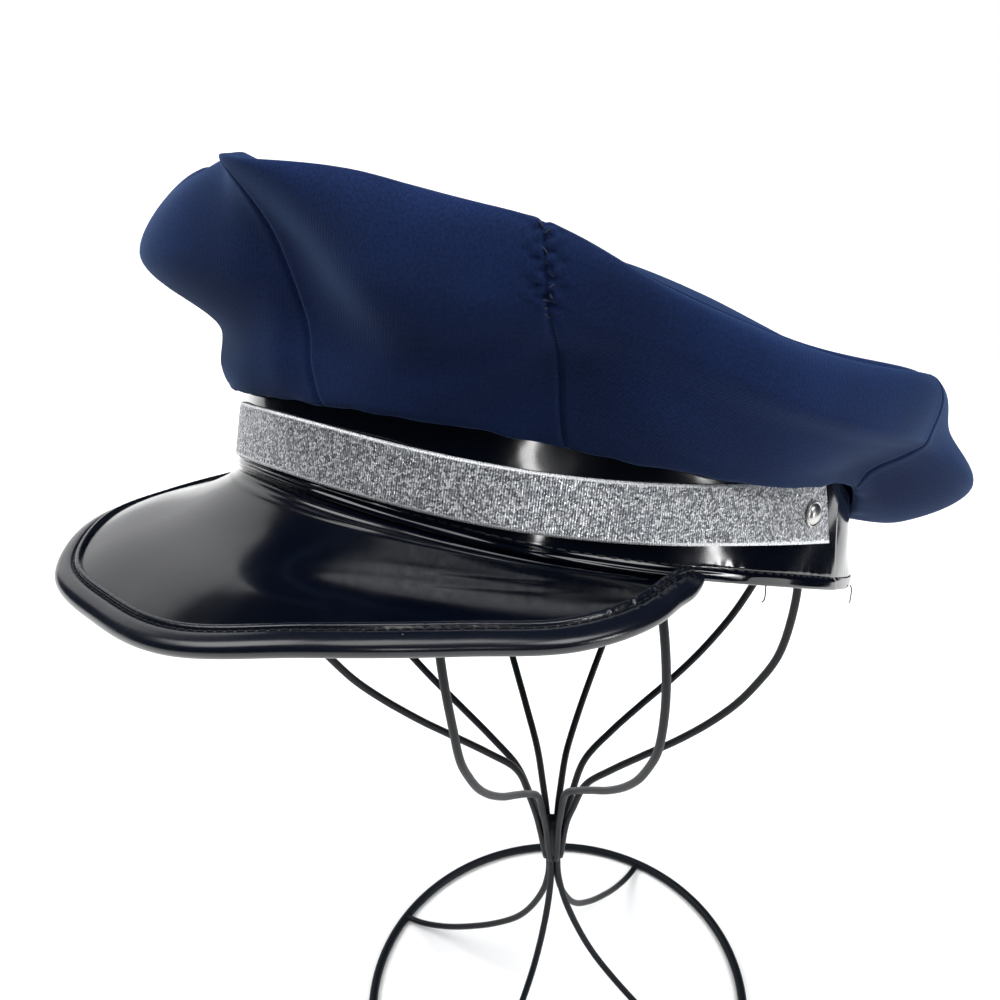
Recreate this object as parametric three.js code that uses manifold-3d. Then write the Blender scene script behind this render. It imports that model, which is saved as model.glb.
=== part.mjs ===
// A soft police cap resting, tilted, on a welded wire hat stand.
// Millimetres, +Z up. The stand's axis is vertical, its base ring lies on Z = 0,
// and the cap faces -Y. The cap is modelled level in its own group, then tipped.
// The origin is on the ground below the middle of the outline.

import * as THREE from 'three';
import { mergeVertices } from 'three/addons/utils/BufferGeometryUtils.js';
import Module from 'manifold-3d';

const wasm = await Module();
wasm.setup();

const RADIANS = Math.PI / 180;
const GAP = 0.35; // clearance between neighbouring pieces
const SIDES = { wire: 6, binding: 8, ring: 8, weld: 16, rivet: 14 }; // of round things

// Where the cap sits on the stand: the middle of its strap, and how it is tipped
const CAP_SEAT = new THREE.Vector3(-4.0, 5.6, 265.4);
const CAP_TIP_BACK = -23.8 * RADIANS;
const CAP_TIP_SIDE = -15.9 * RADIANS;

// Band, an oval ring: half length and half width are to its outer face
const BAND = { halfLength: 93.7, halfWidth: 88, wall: 2, stepCount: 60 };
BAND.frontBottom = -10.7;
BAND.backDrop = 14.4; // how much lower the back of its hem hangs
BAND.backLean = -0.18; // the back leans in, mm per mm of height
BAND.topGap = 0.5; // from its upper edge to the crown's fold
BAND.ripple = { twice: 0.3, thrice: 0.4, fourTimes: 1 };

// Metallic ribbon strap and its rivets
const STRAP = { width: 14.5, thickness: 1, endAngle: 103.5, stepCount: 56 };
STRAP.slant = 1.6; // degrees by which the lower corner of its cut end reaches further
STRAP.slantPower = 9; // how fast that dies away from the end
STRAP.flare = 0.6; // widening of each side at its ends, and how far they ride up
STRAP.endLift = 0.8;
STRAP.endStart = 60; // azimuth from which both set in
const RIVET = { radius: 3.4, height: 1.7, angle: 98 };
RIVET.profile = [[0, 0], [1, 0], [1, 0.3], [0.8, 0.75], [0.4, 0.96], [0, 1]]; // shares

// Crown cloth, a row for each section round the cap, starting at the back.
// head and foot are the section's azimuth at the top edge and at the band, degrees
// from the front towards the wearer's left: the cloth is twisted a little.
// Each pair after them is a radius and a height above the strap's middle.
const CROWN_COLUMNS = ['head', 'foot', 'foldR', 'foldZ', 'bulgeR', 'bulgeZ',
  'waistR', 'waistZ', 'rimR', 'rimZ', 'edgeR', 'edgeZ'];
const CROWN_TABLE = [
  [-180, -174, 98.0, 1.0, 106.0, 7.0, 118.0, 16.0, 116.0, 27.0, 111.0, 42.5],
  [-128, -119, 94.0, 6.0, 104.0, 12.0, 114.0, 20.0, 117.0, 32.0, 108.0, 45.0],
  [-103, -94, 92.0, 10.0, 98.0, 18.0, 106.0, 28.0, 115.0, 41.0, 116.0, 50.0],
  [-74, -64, 93.0, 11.0, 98.0, 19.0, 105.0, 29.0, 120.0, 43.0, 108.0, 59.0],
  [-40, -29, 97.0, 10.5, 101.0, 16.5, 104.0, 31.0, 127.0, 42.0, 112.0, 69.0],
  [-18, -7, 98.0, 12.0, 101.0, 16.5, 102.5, 27.0, 120.5, 44.0, 112.5, 65.0],
  [-5, 6, 97.0, 13.3, 100.0, 20.5, 101.5, 32.0, 111.5, 47.5, 110.5, 70.5],
  [3, 14, 97.0, 13.8, 99.0, 22.0, 99.0, 34.0, 107.5, 52.0, 120.5, 68.5],
  [23, 33, 97.0, 14.5, 100.5, 21.0, 104.0, 31.0, 115.0, 46.0, 114.0, 68.0],
  [32, 41, 95.5, 14.0, 99.0, 20.5, 104.0, 32.5, 114.0, 46.5, 113.0, 66.5],
  [44, 51, 93.5, 12.8, 97.0, 20.0, 103.0, 35.0, 112.0, 46.0, 113.0, 64.0],
  [58, 64, 92.5, 11.0, 96.5, 18.0, 104.0, 32.0, 112.0, 43.0, 111.5, 56.0],
  [75, 82, 92.0, 9.5, 97.0, 15.0, 106.0, 26.0, 113.5, 34.5, 108.5, 49.0],
  [106, 116, 91.0, 8.5, 95.0, 14.5, 104.5, 22.0, 109.5, 29.5, 108.5, 45.5],
  [130, 140, 93.0, -4.0, 107.0, -1.5, 123.5, 13.0, 113.5, 29.5, 103.0, 39.5],
  [180, 186, 98.0, 1.0, 106.0, 7.0, 118.0, 16.0, 116.0, 27.0, 111.0, 42.5],
];
const CROWN = { wall: 1.5, centreHeight: 63.2, sideLean: -0.06, topSag: 4 };
CROWN.seams = [-180, -103, -40, 3, 44, 106, 180]; // head azimuths of the panel seams
CROWN.seamDip = 0.8;
CROWN.foot = 0.9; // knot marks along a section: above the fold, the top edge, and the
CROWN.edge = 5; // seam just past it that joins the side panels to the top one
CROWN.rimSeam = 5.1;
CROWN.footInset = 0.3; // the cloth's foot from the band's outer face and the fold
CROWN.footLift = 1;
CROWN.rise = 1.3; // how late the twist from foot to head sets in
CROWN.topShares = [0.27, 0.64, 0.95]; // how far the top knots have come to the centre
CROWN.topRadii = [0.75, 0.4, 0.16]; // and their radii, as shares of the edge's
CROWN.columnStep = 5.6; // degrees between cloth sections
CROWN.outerSteps = [1, 2, 2, 3, 3, 2, 2, 1, 2]; // faces up each stretch of the section
CROWN.innerSteps = [1, 1, 1, 2, 2, 1, 1, 1, 2];

// Visor, a row for each section from the middle to its end: how far its rim stands
// out from the band and how far it hangs below the strap's middle
const VISOR_COLUMNS = ['angle', 'reach', 'drop'];
const VISOR_TABLE = [
  [0, 45.1, 43.9],
  [14, 46.3, 42.4],
  [28, 41.0, 35.7],
  [42, 32.0, 31.4],
  [54, 27.0, 28.1],
  [64, 17.0, 23.0],
  [68, 10.5, 20.8],
  [71.5, 6.5, 19.0],
];
const VISOR = { thickness: 1.8, endAngle: 71.5, stepCount: 40, rowCount: 7, curl: 0.45 };
VISOR.rootInset = 0.6; // from the band's outer face
VISOR.bindingRadius = 2.2; // the rolled edge, a round bead
VISOR.rimInset = 1.9; // from the outline to the bead's middle, inwards and upwards
VISOR.rimRise = 1.5;
VISOR.rimLift = 0.9; // from the bead's middle to the sheet's upper face
VISOR.leastReach = 0.3; // share of the way to the bead that the sheet always covers

// Wire stand: profile rows from the neck to the top of the head, radius and height
const HEAD_PROFILE = [
  [4.4, 102], [4.7, 106], [5.9, 113], [8.5, 122], [13.4, 136], [22.8, 147], [34.1, 158.5],
  [46.1, 170.5], [57.3, 183.5], [65, 194.5], [70.3, 204.5], [74.8, 215], [77.9, 232],
  [78.5, 248], [75.8, 268.3], [68, 287.3], [55.5, 303.5], [39.3, 316], [20.3, 323.8],
  [0.6, 326.5],
];
// How each head wire is bent off that profile: raised, mm, and turned, degrees. Both
// come in above the neck and fade again towards the top.
const HEAD_BENDS = [
  [1.9, 3.7], [2.9, 1.1], [-0.5, 0.3], [3, -9.4], [-2.7, -6.3], [0.9, -0.9], [-1.4, 1.3],
  [7.7, -4],
];
const RAISED_BETWEEN = [106, 132, 175, 270]; // heights where a bend starts, is full,
const TURNED_BETWEEN = [106, 180, 225, 300]; // begins to fade and has faded
const LEG_PROFILE = [
  [1.8, 87.5], [2.0, 82], [4.2, 70], [9, 57], [17, 43], [28, 31], [41, 20], [58, 8.5],
  [70, 3.2], [78, 1.9],
];
const STAND = { ringRadius: 78, ringWire: 1.8, wire: 1.25 };
STAND.weldGap = 0.05; // clearance between a wire's end and its weld
STAND.headSteps = 24; // stretches along a head wire and a leg, and round the ring
STAND.legSteps = 12;
STAND.ringSteps = 44;
STAND.headTurn = 32.1; // azimuth of the first head wire
STAND.legs = 4;
STAND.legTurn = 24.7;
// Welded lumps, radius and height down their profile: where legs and head wires
// meet, and where the head wires cross
const NECK_PROFILE = [[3.3, 85], [3.2, 89], [4.6, 95], [6.1, 100], [6.4, 106]];
const TOP_PROFILE = [[4.2, 324.7], [5.2, 326.2], [4.2, 327.9]];

// Colours
const NAVY = 0x1b2748;
const BLACK = 0x0b0c0f;
const SILVER = 0xa9abad;

function material(color, roughness, metalness) {
  return new THREE.MeshStandardMaterial({ color, roughness, metalness });
}

function namedRows(columns, table) {
  return table.map((row) => Object.fromEntries(columns.map((name, k) => [name, row[k]])));
}

// Smooth value at x of the curve through the knots xs, ys. A level curve has no
// slope at its two ends.
function smooth(xs, ys, x, level = false) {
  const last = xs.length - 2;
  let i = 0;
  while (i < last && x > xs[i + 1]) i += 1;
  const width = (k) => xs[k + 1] - xs[k];
  const rise = (k) => (ys[k + 1] - ys[k]) / width(k);
  const slope = (k) => {
    if (k === 0) return level ? 0 : rise(0);
    if (k > last) return level ? 0 : rise(last);
    return (rise(k - 1) * width(k) + rise(k) * width(k - 1)) / (width(k) + width(k - 1));
  };
  const t = (x - xs[i]) / width(i);
  const s = 1 - t;
  return ys[i] * (1 + 2 * t) * s * s + ys[i + 1] * t * t * (3 - 2 * t)
    + width(i) * (slope(i) * t * s * s - slope(i + 1) * t * t * s);
}

// 0 up to start, 1 from end on, and a soft S between
function ease(x, start, end) {
  const t = Math.min(Math.max((x - start) / (end - start), 0), 1);
  return t * t * (3 - 2 * t);
}

function polar(degrees, radius, height) {
  const a = degrees * RADIANS;
  return new THREE.Vector3(radius * Math.sin(a), -radius * Math.cos(a), height);
}

// Closed mesh from vectors and triples of their indices, duplicates merged
function meshGeometry(points, triangles) {
  const geometry = new THREE.BufferGeometry();
  const numbers = points.flatMap((p) => [p.x, p.y, p.z]);
  geometry.setAttribute('position', new THREE.Float32BufferAttribute(numbers, 3));
  geometry.setIndex(triangles.flat());
  return geometry;
}

// Skin between rings of points; each ring has the same count and closes on itself
// when wrapped. The rings run so that the skin's outside is on its right.
function stitch(triangles, ringA, ringB, wrapped) {
  const count = wrapped ? ringA.length : ringA.length - 1;
  for (let i = 0; i < count; i += 1) {
    const j = (i + 1) % ringA.length;
    triangles.push([ringA[i], ringA[j], ringB[j]], [ringA[i], ringB[j], ringB[i]]);
  }
}

function ringIndices(start, count) {
  return Array.from({ length: count }, (_, i) => start + i);
}

// A body whose sections are closed loops: sections[i] is a list of vectors. It
// closes on itself, or has flat ends fanned from their first point.
function sweptSections(sections, wrapped) {
  const size = sections[0].length;
  const triangles = [];
  const rings = sections.map((_, i) => ringIndices(i * size, size));
  const joins = wrapped ? sections.length : sections.length - 1;
  for (let i = 0; i < joins; i += 1) {
    stitch(triangles, rings[i], rings[(i + 1) % sections.length], true);
  }
  if (!wrapped) {
    const tail = (sections.length - 1) * size;
    for (let k = 1; k < size - 1; k += 1) {
      triangles.push([0, k + 1, k], [tail, tail + k, tail + k + 1]);
    }
  }
  return meshGeometry(sections.flat(), triangles);
}

// Band

function bandRipple(angle) {
  const a = angle * RADIANS;
  const { twice, thrice, fourTimes } = BAND.ripple;
  return twice * Math.cos(2 * a) + thrice * Math.cos(3 * a) + fourTimes * Math.cos(4 * a);
}

function backShare(angle) {
  return (1 - Math.cos(angle * RADIANS)) / 2;
}

function bandRadius(angle, height = 0) {
  const along = BAND.halfWidth * Math.cos(angle * RADIANS);
  const across = BAND.halfLength * Math.sin(angle * RADIANS);
  const oval = BAND.halfLength * BAND.halfWidth / Math.hypot(along, across);
  return oval + BAND.backLean * backShare(angle) * height;
}

function bandBottom(angle) {
  return BAND.frontBottom + bandRipple(angle) - BAND.backDrop * backShare(angle);
}

// Crown

const crownRows = namedRows(CROWN_COLUMNS, CROWN_TABLE);
const crownHeads = crownRows.map((row) => row.head);

function crownValue(name, head) {
  return smooth(crownHeads, crownRows.map((row) => row[name]), head, true);
}

// Azimuth at the top edge of the cloth section whose foot is at this azimuth
function headAbove(foot) {
  const turned = foot < crownRows[0].foot ? foot + 360 : foot;
  let low = -180;
  let high = 180;
  while (high - low > 0.01) {
    const middle = (low + high) / 2;
    if (crownValue('foot', middle) < turned) low = middle;
    else high = middle;
  }
  return low;
}

function bandTop(angle) {
  return crownValue('foldZ', headAbove(angle)) - BAND.topGap;
}

function bandGeometry() {
  const sections = [];
  for (let i = 0; i < BAND.stepCount; i += 1) {
    const angle = -180 + 360 * i / BAND.stepCount;
    const low = bandBottom(angle);
    const high = bandTop(angle);
    sections.push([
      polar(angle, bandRadius(angle, low) - BAND.wall, low),
      polar(angle, bandRadius(angle, low), low),
      polar(angle, bandRadius(angle, high), high),
      polar(angle, bandRadius(angle, high) - BAND.wall, high),
    ]);
  }
  return sweptSections(sections.reverse(), true);
}

// Knots of one crown section, from the band out, up and over to the middle
function crownKnots(head) {
  const value = Object.fromEntries(CROWN_COLUMNS.map((name) => [name, crownValue(name, head)]));
  const { edgeR, edgeZ } = value;
  const topHeights = CROWN.topShares.map((share) => edgeZ + (CROWN.centreHeight - edgeZ) * share);
  topHeights[0] -= CROWN.topSag;
  return {
    foot: value.foot,
    radii: [bandRadius(value.foot, value.foldZ) - CROWN.footInset, value.foldR, value.bulgeR,
      value.waistR, value.rimR, edgeR, ...CROWN.topRadii.map((share) => edgeR * share), 0],
    heights: [value.foldZ + CROWN.footLift, value.foldZ, value.bulgeZ, value.waistZ,
      value.rimZ, edgeZ, ...topHeights, CROWN.centreHeight],
  };
}

// Points of one crown section at the given knot positions; inset is 0 on the outer
// face and the wall's thickness on the inner one
function crownSection(head, knotPositions, inset, isSeam) {
  const { foot, radii, heights } = crownKnots(head);
  const marks = radii.map((_, k) => k);
  const nearby = 0.05;
  const at = (u) => [smooth(marks, radii, u), smooth(marks, heights, u)];
  return knotPositions.map((u) => {
    const [r, z] = at(u);
    const before = at(Math.max(u - nearby, 0));
    const after = at(Math.min(u + nearby, marks.length - 1));
    const normal = new THREE.Vector2(before[1] - after[1], after[0] - before[0]).normalize();
    const footShare = Math.max(0, 1 - u);
    normal.lerp(new THREE.Vector2(-1, 0), footShare);
    if (u === marks.length - 1) normal.set(0, -1);
    const onSeam = u === CROWN.rimSeam || (isSeam && u > CROWN.foot && u < CROWN.rimSeam);
    const depth = inset + (onSeam ? CROWN.seamDip : 0);
    const radius = Math.max(0, r + normal.x * depth);
    const rise = Math.min(u / CROWN.edge, 1) ** CROWN.rise;
    const angle = foot + (head - foot) * rise;
    const lean = CROWN.sideLean * r * Math.sin(angle * RADIANS) * rise;
    return polar(angle, radius, z + normal.y * depth + lean);
  });
}

// Places up a section: even steps between its knots, and the seam at the rim
function knotPositions(steps) {
  const positions = [0, CROWN.rimSeam, 2 * CROWN.rimSeam - CROWN.edge];
  steps.forEach((count, k) => {
    for (let i = 1; i <= count; i += 1) positions.push(k + i / count);
  });
  return positions.sort((a, b) => a - b);
}

// Azimuths of the cloth sections: each panel is cut into equal steps
function crownColumns() {
  const columns = [];
  for (let k = 0; k < CROWN.seams.length - 1; k += 1) {
    const start = CROWN.seams[k];
    const span = CROWN.seams[k + 1] - start;
    const steps = Math.round(span / CROWN.columnStep);
    for (let i = 0; i < steps; i += 1) {
      columns.push({ head: start + span * i / steps, isSeam: i === 0 });
    }
  }
  return columns;
}

function crownGeometry() {
  const columns = crownColumns();
  const count = columns.length;
  const points = [];
  const triangles = [];
  const skin = (steps, inset, facingOut) => {
    const positions = knotPositions(steps);
    const sections = columns.map(({ head, isSeam }) => (
      crownSection(head, positions, inset, isSeam)));
    const rings = [];
    for (let j = 0; j < positions.length - 1; j += 1) {
      rings.push(ringIndices(points.length, count));
      sections.forEach((section) => points.push(section[j]));
    }
    const pole = points.length;
    points.push(sections[0][positions.length - 1]);
    for (let j = 0; j < rings.length - 1; j += 1) {
      const pair = facingOut ? [rings[j], rings[j + 1]] : [rings[j + 1], rings[j]];
      stitch(triangles, ...pair, true);
    }
    const top = rings[rings.length - 1];
    top.forEach((index, i) => {
      const next = top[(i + 1) % count];
      triangles.push(facingOut ? [index, next, pole] : [next, index, pole]);
    });
    return rings[0];
  };
  const outerFoot = skin(CROWN.outerSteps, 0, true);
  const innerFoot = skin(CROWN.innerSteps, CROWN.wall, false);
  stitch(triangles, innerFoot, outerFoot, true);
  return meshGeometry(points, triangles);
}

// Visor and its rolled edge

const visorRows = namedRows(VISOR_COLUMNS, VISOR_TABLE);
const visorAngles = visorRows.map((row) => row.angle);

function visorValue(name, angle) {
  const values = visorRows.map((row) => row[name]);
  const inner = [-visorAngles[1], ...visorAngles];
  return smooth(inner, [values[1], ...values], Math.abs(angle));
}

function visorRoot(angle) {
  const height = bandBottom(angle) - GAP;
  return [bandRadius(angle, height) - VISOR.rootInset, height];
}

// Middle of the rolled edge
function beadMiddle(angle) {
  const out = bandRadius(angle) + visorValue('reach', angle);
  return [out - VISOR.rimInset, -visorValue('drop', angle) + VISOR.rimRise];
}

// Upper face of the visor: share runs from its root to beside the rolled edge
function visorPoint(angle, share) {
  const [rootRadius, rootHeight] = visorRoot(angle);
  const [beadRadius, beadHeight] = beadMiddle(angle);
  const across = polar(angle, beadRadius, beadHeight).sub(polar(angle, rootRadius, rootHeight));
  const nearby = 0.5; // degrees
  const along = polar(angle + nearby, ...beadMiddle(angle + nearby))
    .sub(polar(angle - nearby, ...beadMiddle(angle - nearby))).normalize();
  const clear = (VISOR.bindingRadius + GAP) / across.clone().cross(along).length();
  const reach = Math.max(VISOR.leastReach, 1 - clear);
  const s = share * reach;
  const fall = s + VISOR.curl * Math.sin(2 * Math.PI * s) / (2 * Math.PI);
  const radius = rootRadius + (beadRadius - rootRadius) * s;
  return [radius, rootHeight + (beadHeight + VISOR.rimLift - rootHeight) * fall];
}

function visorGeometry() {
  const nearby = 0.02; // share of the way out
  const sections = [];
  for (let i = 0; i <= VISOR.stepCount; i += 1) {
    const angle = VISOR.endAngle * (2 * i / VISOR.stepCount - 1);
    const upper = [];
    const lower = [];
    for (let j = 0; j <= VISOR.rowCount; j += 1) {
      const share = j / VISOR.rowCount;
      const here = visorPoint(angle, share);
      const before = visorPoint(angle, Math.max(share - nearby, 0));
      const after = visorPoint(angle, Math.min(share + nearby, 1));
      const normal = new THREE.Vector2(after[1] - before[1], before[0] - after[0]).normalize();
      const under = [0, 1].map((k) => here[k] + normal.getComponent(k) * VISOR.thickness);
      upper.push(polar(angle, ...here));
      lower.push(polar(angle, ...under));
    }
    sections.push([...upper, ...lower.reverse()]);
  }
  return sweptSections(sections, false);
}

function visorBindingGeometry() {
  const route = [];
  for (let i = 0; i <= VISOR.stepCount; i += 1) {
    const angle = VISOR.endAngle * (1 - 2 * i / VISOR.stepCount);
    route.push(polar(angle, ...beadMiddle(angle)));
  }
  return tube(route, VISOR.bindingRadius, SIDES.binding, VISOR.stepCount);
}

// Strap and rivets

// 0 along most of the strap, 1 at its two ends
function nearStrapEnd(angle) {
  return ease(Math.abs(angle), STRAP.endStart, STRAP.endAngle);
}

function strapMiddle(angle) {
  return bandRipple(angle) + STRAP.endLift * nearStrapEnd(angle);
}

function strapGeometry() {
  const sections = [];
  for (let i = 0; i <= STRAP.stepCount; i += 1) {
    const angle = STRAP.endAngle * (2 * i / STRAP.stepCount - 1);
    const half = STRAP.width / 2 + STRAP.flare * nearStrapEnd(angle);
    const slant = STRAP.slant * (angle / STRAP.endAngle) ** STRAP.slantPower;
    const corner = (side, out) => {
      const height = strapMiddle(angle) + side * half;
      return polar(angle - side * slant, bandRadius(angle, height) + GAP + out, height);
    };
    sections.push([
      corner(-1, 0), corner(1, 0), corner(1, STRAP.thickness), corner(-1, STRAP.thickness),
    ]);
  }
  return sweptSections(sections, false);
}

function rivetGeometry() {
  const profile = RIVET.profile.map(([across, up]) => (
    new THREE.Vector2(across * RIVET.radius, up * RIVET.height)));
  return new THREE.LatheGeometry(profile, SIDES.rivet);
}

// Wire work

function tube(route, radius, sides, steps) {
  const section = new THREE.Shape();
  for (let k = 0; k < sides; k += 1) {
    const a = 2 * Math.PI * (k + 0.5) / sides;
    const point = [radius * Math.cos(a), radius * Math.sin(a)];
    if (k === 0) section.moveTo(...point);
    else section.lineTo(...point);
  }
  section.closePath();
  const extrudePath = new THREE.CatmullRomCurve3(route);
  return new THREE.ExtrudeGeometry(section, { steps, extrudePath, curveSegments: 1 });
}

function solid(geometry) {
  const bare = geometry.clone();
  bare.deleteAttribute('normal');
  bare.deleteAttribute('uv');
  const merged = mergeVertices(bare, 1e-4);
  return new wasm.Manifold(new wasm.Mesh({
    numProp: 3,
    vertProperties: new Float32Array(merged.attributes.position.array),
    triVerts: new Uint32Array(merged.index.array),
  }));
}

function solidGeometry(manifold) {
  const { vertProperties, triVerts } = manifold.getMesh();
  const geometry = new THREE.BufferGeometry();
  geometry.setAttribute('position', new THREE.BufferAttribute(vertProperties, 3));
  geometry.setIndex(new THREE.BufferAttribute(triVerts, 1));
  return geometry;
}

// Points along a head wire, bent off the common profile
function headRoute(azimuth, raised, turned) {
  const share = (height, [start, full, fade, end]) => (
    ease(height, start, full) * (1 - ease(height, fade, end)));
  return HEAD_PROFILE.map(([radius, height]) => polar(
    azimuth + turned * share(height, TURNED_BETWEEN),
    radius,
    height + raised * share(height, RAISED_BETWEEN),
  ));
}

// A wire along its route, cut back to just clear what it is welded to
function wire(route, steps, welds) {
  let piece = solid(tube(route, STAND.wire, SIDES.wire, steps));
  welds.forEach((weld) => {
    piece = piece.subtract(weld);
  });
  return solidGeometry(piece);
}

// A lump of weld metal with flat ends, grown on all sides
function weldLump(profile, grown) {
  const rows = profile.map(([radius, height]) => new THREE.Vector2(radius + grown, height));
  rows[0].y -= grown;
  rows[rows.length - 1].y += grown;
  rows.unshift(new THREE.Vector2(0, rows[0].y));
  rows.push(new THREE.Vector2(0, rows[rows.length - 1].y));
  const geometry = new THREE.LatheGeometry(rows, SIDES.weld);
  geometry.rotateX(Math.PI / 2);
  return geometry;
}

// The base ring has an eight-sided section that lies on a flat
function baseRing(grown) {
  const profile = [];
  const half = STAND.ringWire * Math.cos(Math.PI / SIDES.ring);
  for (let k = 0; k <= SIDES.ring; k += 1) {
    const a = 2 * Math.PI * (k + 0.5) / SIDES.ring;
    const out = STAND.ringRadius + (STAND.ringWire + grown) * Math.cos(a);
    profile.push(new THREE.Vector2(out, half + (STAND.ringWire + grown) * Math.sin(a)));
  }
  const geometry = new THREE.LatheGeometry(profile, STAND.ringSteps);
  geometry.rotateX(Math.PI / 2);
  return geometry;
}

function addStand(part) {
  const look = material(BLACK, 0.5, 0.3);
  part.add(
    named('base_ring', baseRing(0), look),
    named('neck_weld', weldLump(NECK_PROFILE, 0), look),
    named('top_weld', weldLump(TOP_PROFILE, 0), look),
  );
  const neck = solid(weldLump(NECK_PROFILE, STAND.weldGap));
  const top = solid(weldLump(TOP_PROFILE, STAND.weldGap));
  const ring = solid(baseRing(STAND.weldGap));
  HEAD_BENDS.forEach((bend, k) => {
    const azimuth = STAND.headTurn + 360 * k / HEAD_BENDS.length;
    const geometry = wire(headRoute(azimuth, ...bend), STAND.headSteps, [neck, top]);
    part.add(named(`head_wire_${k + 1}`, geometry, look));
  });
  for (let k = 0; k < STAND.legs; k += 1) {
    const azimuth = STAND.legTurn + 360 * k / STAND.legs;
    const route = LEG_PROFILE.map(([radius, height]) => polar(azimuth, radius, height));
    const geometry = wire(route, STAND.legSteps, [neck, ring]);
    part.add(named(`leg_wire_${k + 1}`, geometry, look));
  }
}

// Assembly

function named(name, geometry, look) {
  const mesh = new THREE.Mesh(geometry, look);
  mesh.name = name;
  return mesh;
}

function rivet(name, angle) {
  const mesh = named(name, rivetGeometry(), material(SILVER, 0.3, 1));
  const height = strapMiddle(angle);
  mesh.position.copy(polar(angle, bandRadius(angle, height) + 2 * GAP + STRAP.thickness, height));
  mesh.rotation.set(0, 0, (angle + 180) * RADIANS);
  return mesh;
}

const cap = new THREE.Group();
cap.add(
  named('crown', crownGeometry(), material(NAVY, 0.9, 0)),
  named('band', bandGeometry(), material(BLACK, 0.15, 0)),
  named('strap', strapGeometry(), material(SILVER, 0.4, 0.7)),
  rivet('rivet_left', RIVET.angle),
  rivet('rivet_right', -RIVET.angle),
  named('visor', visorGeometry(), material(BLACK, 0.1, 0)),
  named('visor_binding', visorBindingGeometry(), material(BLACK, 0.25, 0)),
);
cap.position.copy(CAP_SEAT);
cap.rotation.set(CAP_TIP_BACK, CAP_TIP_SIDE, 0);

const part = new THREE.Group();
part.add(cap);
addStand(part);

// The origin is the middle of the whole outline, on the surface it stands on
part.updateMatrixWorld(true);
const outline = new THREE.Box3().setFromObject(part, true);
const middle = outline.getCenter(new THREE.Vector3());
part.position.set(-middle.x, -middle.y, -outline.min.z);

export default part;
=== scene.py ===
# %% [markdown]
# # A soft police cap on a wire hat stand
# The object has two halves. The stand is bent steel wire under satin black paint. The
# cap is sewn: a dark navy crown that slumps over the wires, a band of glossy vinyl, a
# ribbon of metallic yarn and a curved visor with a stitched rim.
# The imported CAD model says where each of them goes. Here each gets its fine shape and
# its finish. We load that model first, because every size below starts from it.

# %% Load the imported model
import math

import bpy
import numpy as np
from mathutils import Matrix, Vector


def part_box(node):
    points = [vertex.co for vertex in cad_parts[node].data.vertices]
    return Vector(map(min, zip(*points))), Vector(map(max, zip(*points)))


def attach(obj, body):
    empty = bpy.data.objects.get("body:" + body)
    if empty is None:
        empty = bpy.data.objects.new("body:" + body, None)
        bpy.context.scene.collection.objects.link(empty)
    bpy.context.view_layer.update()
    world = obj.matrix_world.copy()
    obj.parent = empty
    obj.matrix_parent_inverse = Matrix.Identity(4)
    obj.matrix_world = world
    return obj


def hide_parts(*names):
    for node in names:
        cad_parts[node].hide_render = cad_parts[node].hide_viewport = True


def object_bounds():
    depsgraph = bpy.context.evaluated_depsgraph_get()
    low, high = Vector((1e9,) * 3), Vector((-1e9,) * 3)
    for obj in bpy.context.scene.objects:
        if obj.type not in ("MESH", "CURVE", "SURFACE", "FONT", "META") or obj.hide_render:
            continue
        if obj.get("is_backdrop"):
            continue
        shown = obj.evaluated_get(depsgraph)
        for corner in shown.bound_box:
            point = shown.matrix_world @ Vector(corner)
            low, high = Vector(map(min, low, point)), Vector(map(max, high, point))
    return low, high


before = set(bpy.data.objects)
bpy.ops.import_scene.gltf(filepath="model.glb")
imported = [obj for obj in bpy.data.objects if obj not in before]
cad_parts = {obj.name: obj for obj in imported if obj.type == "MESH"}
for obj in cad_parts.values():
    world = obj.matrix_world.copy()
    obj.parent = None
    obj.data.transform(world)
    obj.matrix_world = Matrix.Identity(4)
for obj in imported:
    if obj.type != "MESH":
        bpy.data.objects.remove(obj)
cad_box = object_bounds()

print("nodes:", ", ".join(sorted(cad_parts)))
print("CAD box, mm:", [[round(1000 * v, 1) for v in corner] for corner in cad_box])

# %% [markdown]
# ## Where things stand
# The cap was drawn level in its own coordinates, in millimetres: the visor faces -Y,
# the wearer's left is +X, and the height is counted from the middle of the ribbon. Then
# it was tipped on the stand. Two steps take a cap point to its place: turn, then shift.
# The shift is counted from the stand's axis, which is the middle of the base ring.

# %% Place points of the cap and of the stand
MM = 0.001

ring_low, ring_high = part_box("base_ring")
stand_axis = np.array([(ring_low.x + ring_high.x) / 2, (ring_low.y + ring_high.y) / 2, 0.0])

CAP_SEAT = np.array([-4.0, 5.6, 265.4])
TIP_BACK = math.radians(-23.8)
TIP_SIDE = math.radians(-15.9)
cap_turn = np.array(Matrix.Rotation(TIP_BACK, 3, "X") @ Matrix.Rotation(TIP_SIDE, 3, "Y"))


def cap_to_row(points):
    """Cap millimetres to metres of the row: turned, shifted by the seat and the axis."""
    return (points @ cap_turn.T + CAP_SEAT) * MM + stand_axis


def stand_to_row(points):
    """Stand millimetres, counted from its axis, to metres of the row."""
    return points * MM + stand_axis


def polar(degrees, radius, height):
    """A point at an azimuth counted from the front towards the wearer's left:
    x = radius sin a, y = -radius cos a, z = height."""
    degrees, radius, height = np.broadcast_arrays(degrees, radius, height)
    a = np.radians(degrees)
    return np.stack([radius * np.sin(a), -radius * np.cos(a), height], axis=-1)


print("stand axis, mm:", np.round(1000 * stand_axis, 2))

# %% [markdown]
# ## Surfaces as grids of numbers
# Every piece here is a grid: one parameter runs round the cap or along a wire, the
# other across it. Numpy works out all the points at once. What is left is to say which
# four neighbours make a face, and to hand both to Blender. A grid is closed on itself
# by joining its last row or column to its first one.

# %% Make a mesh piece from a grid
BODY = "root"


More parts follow.
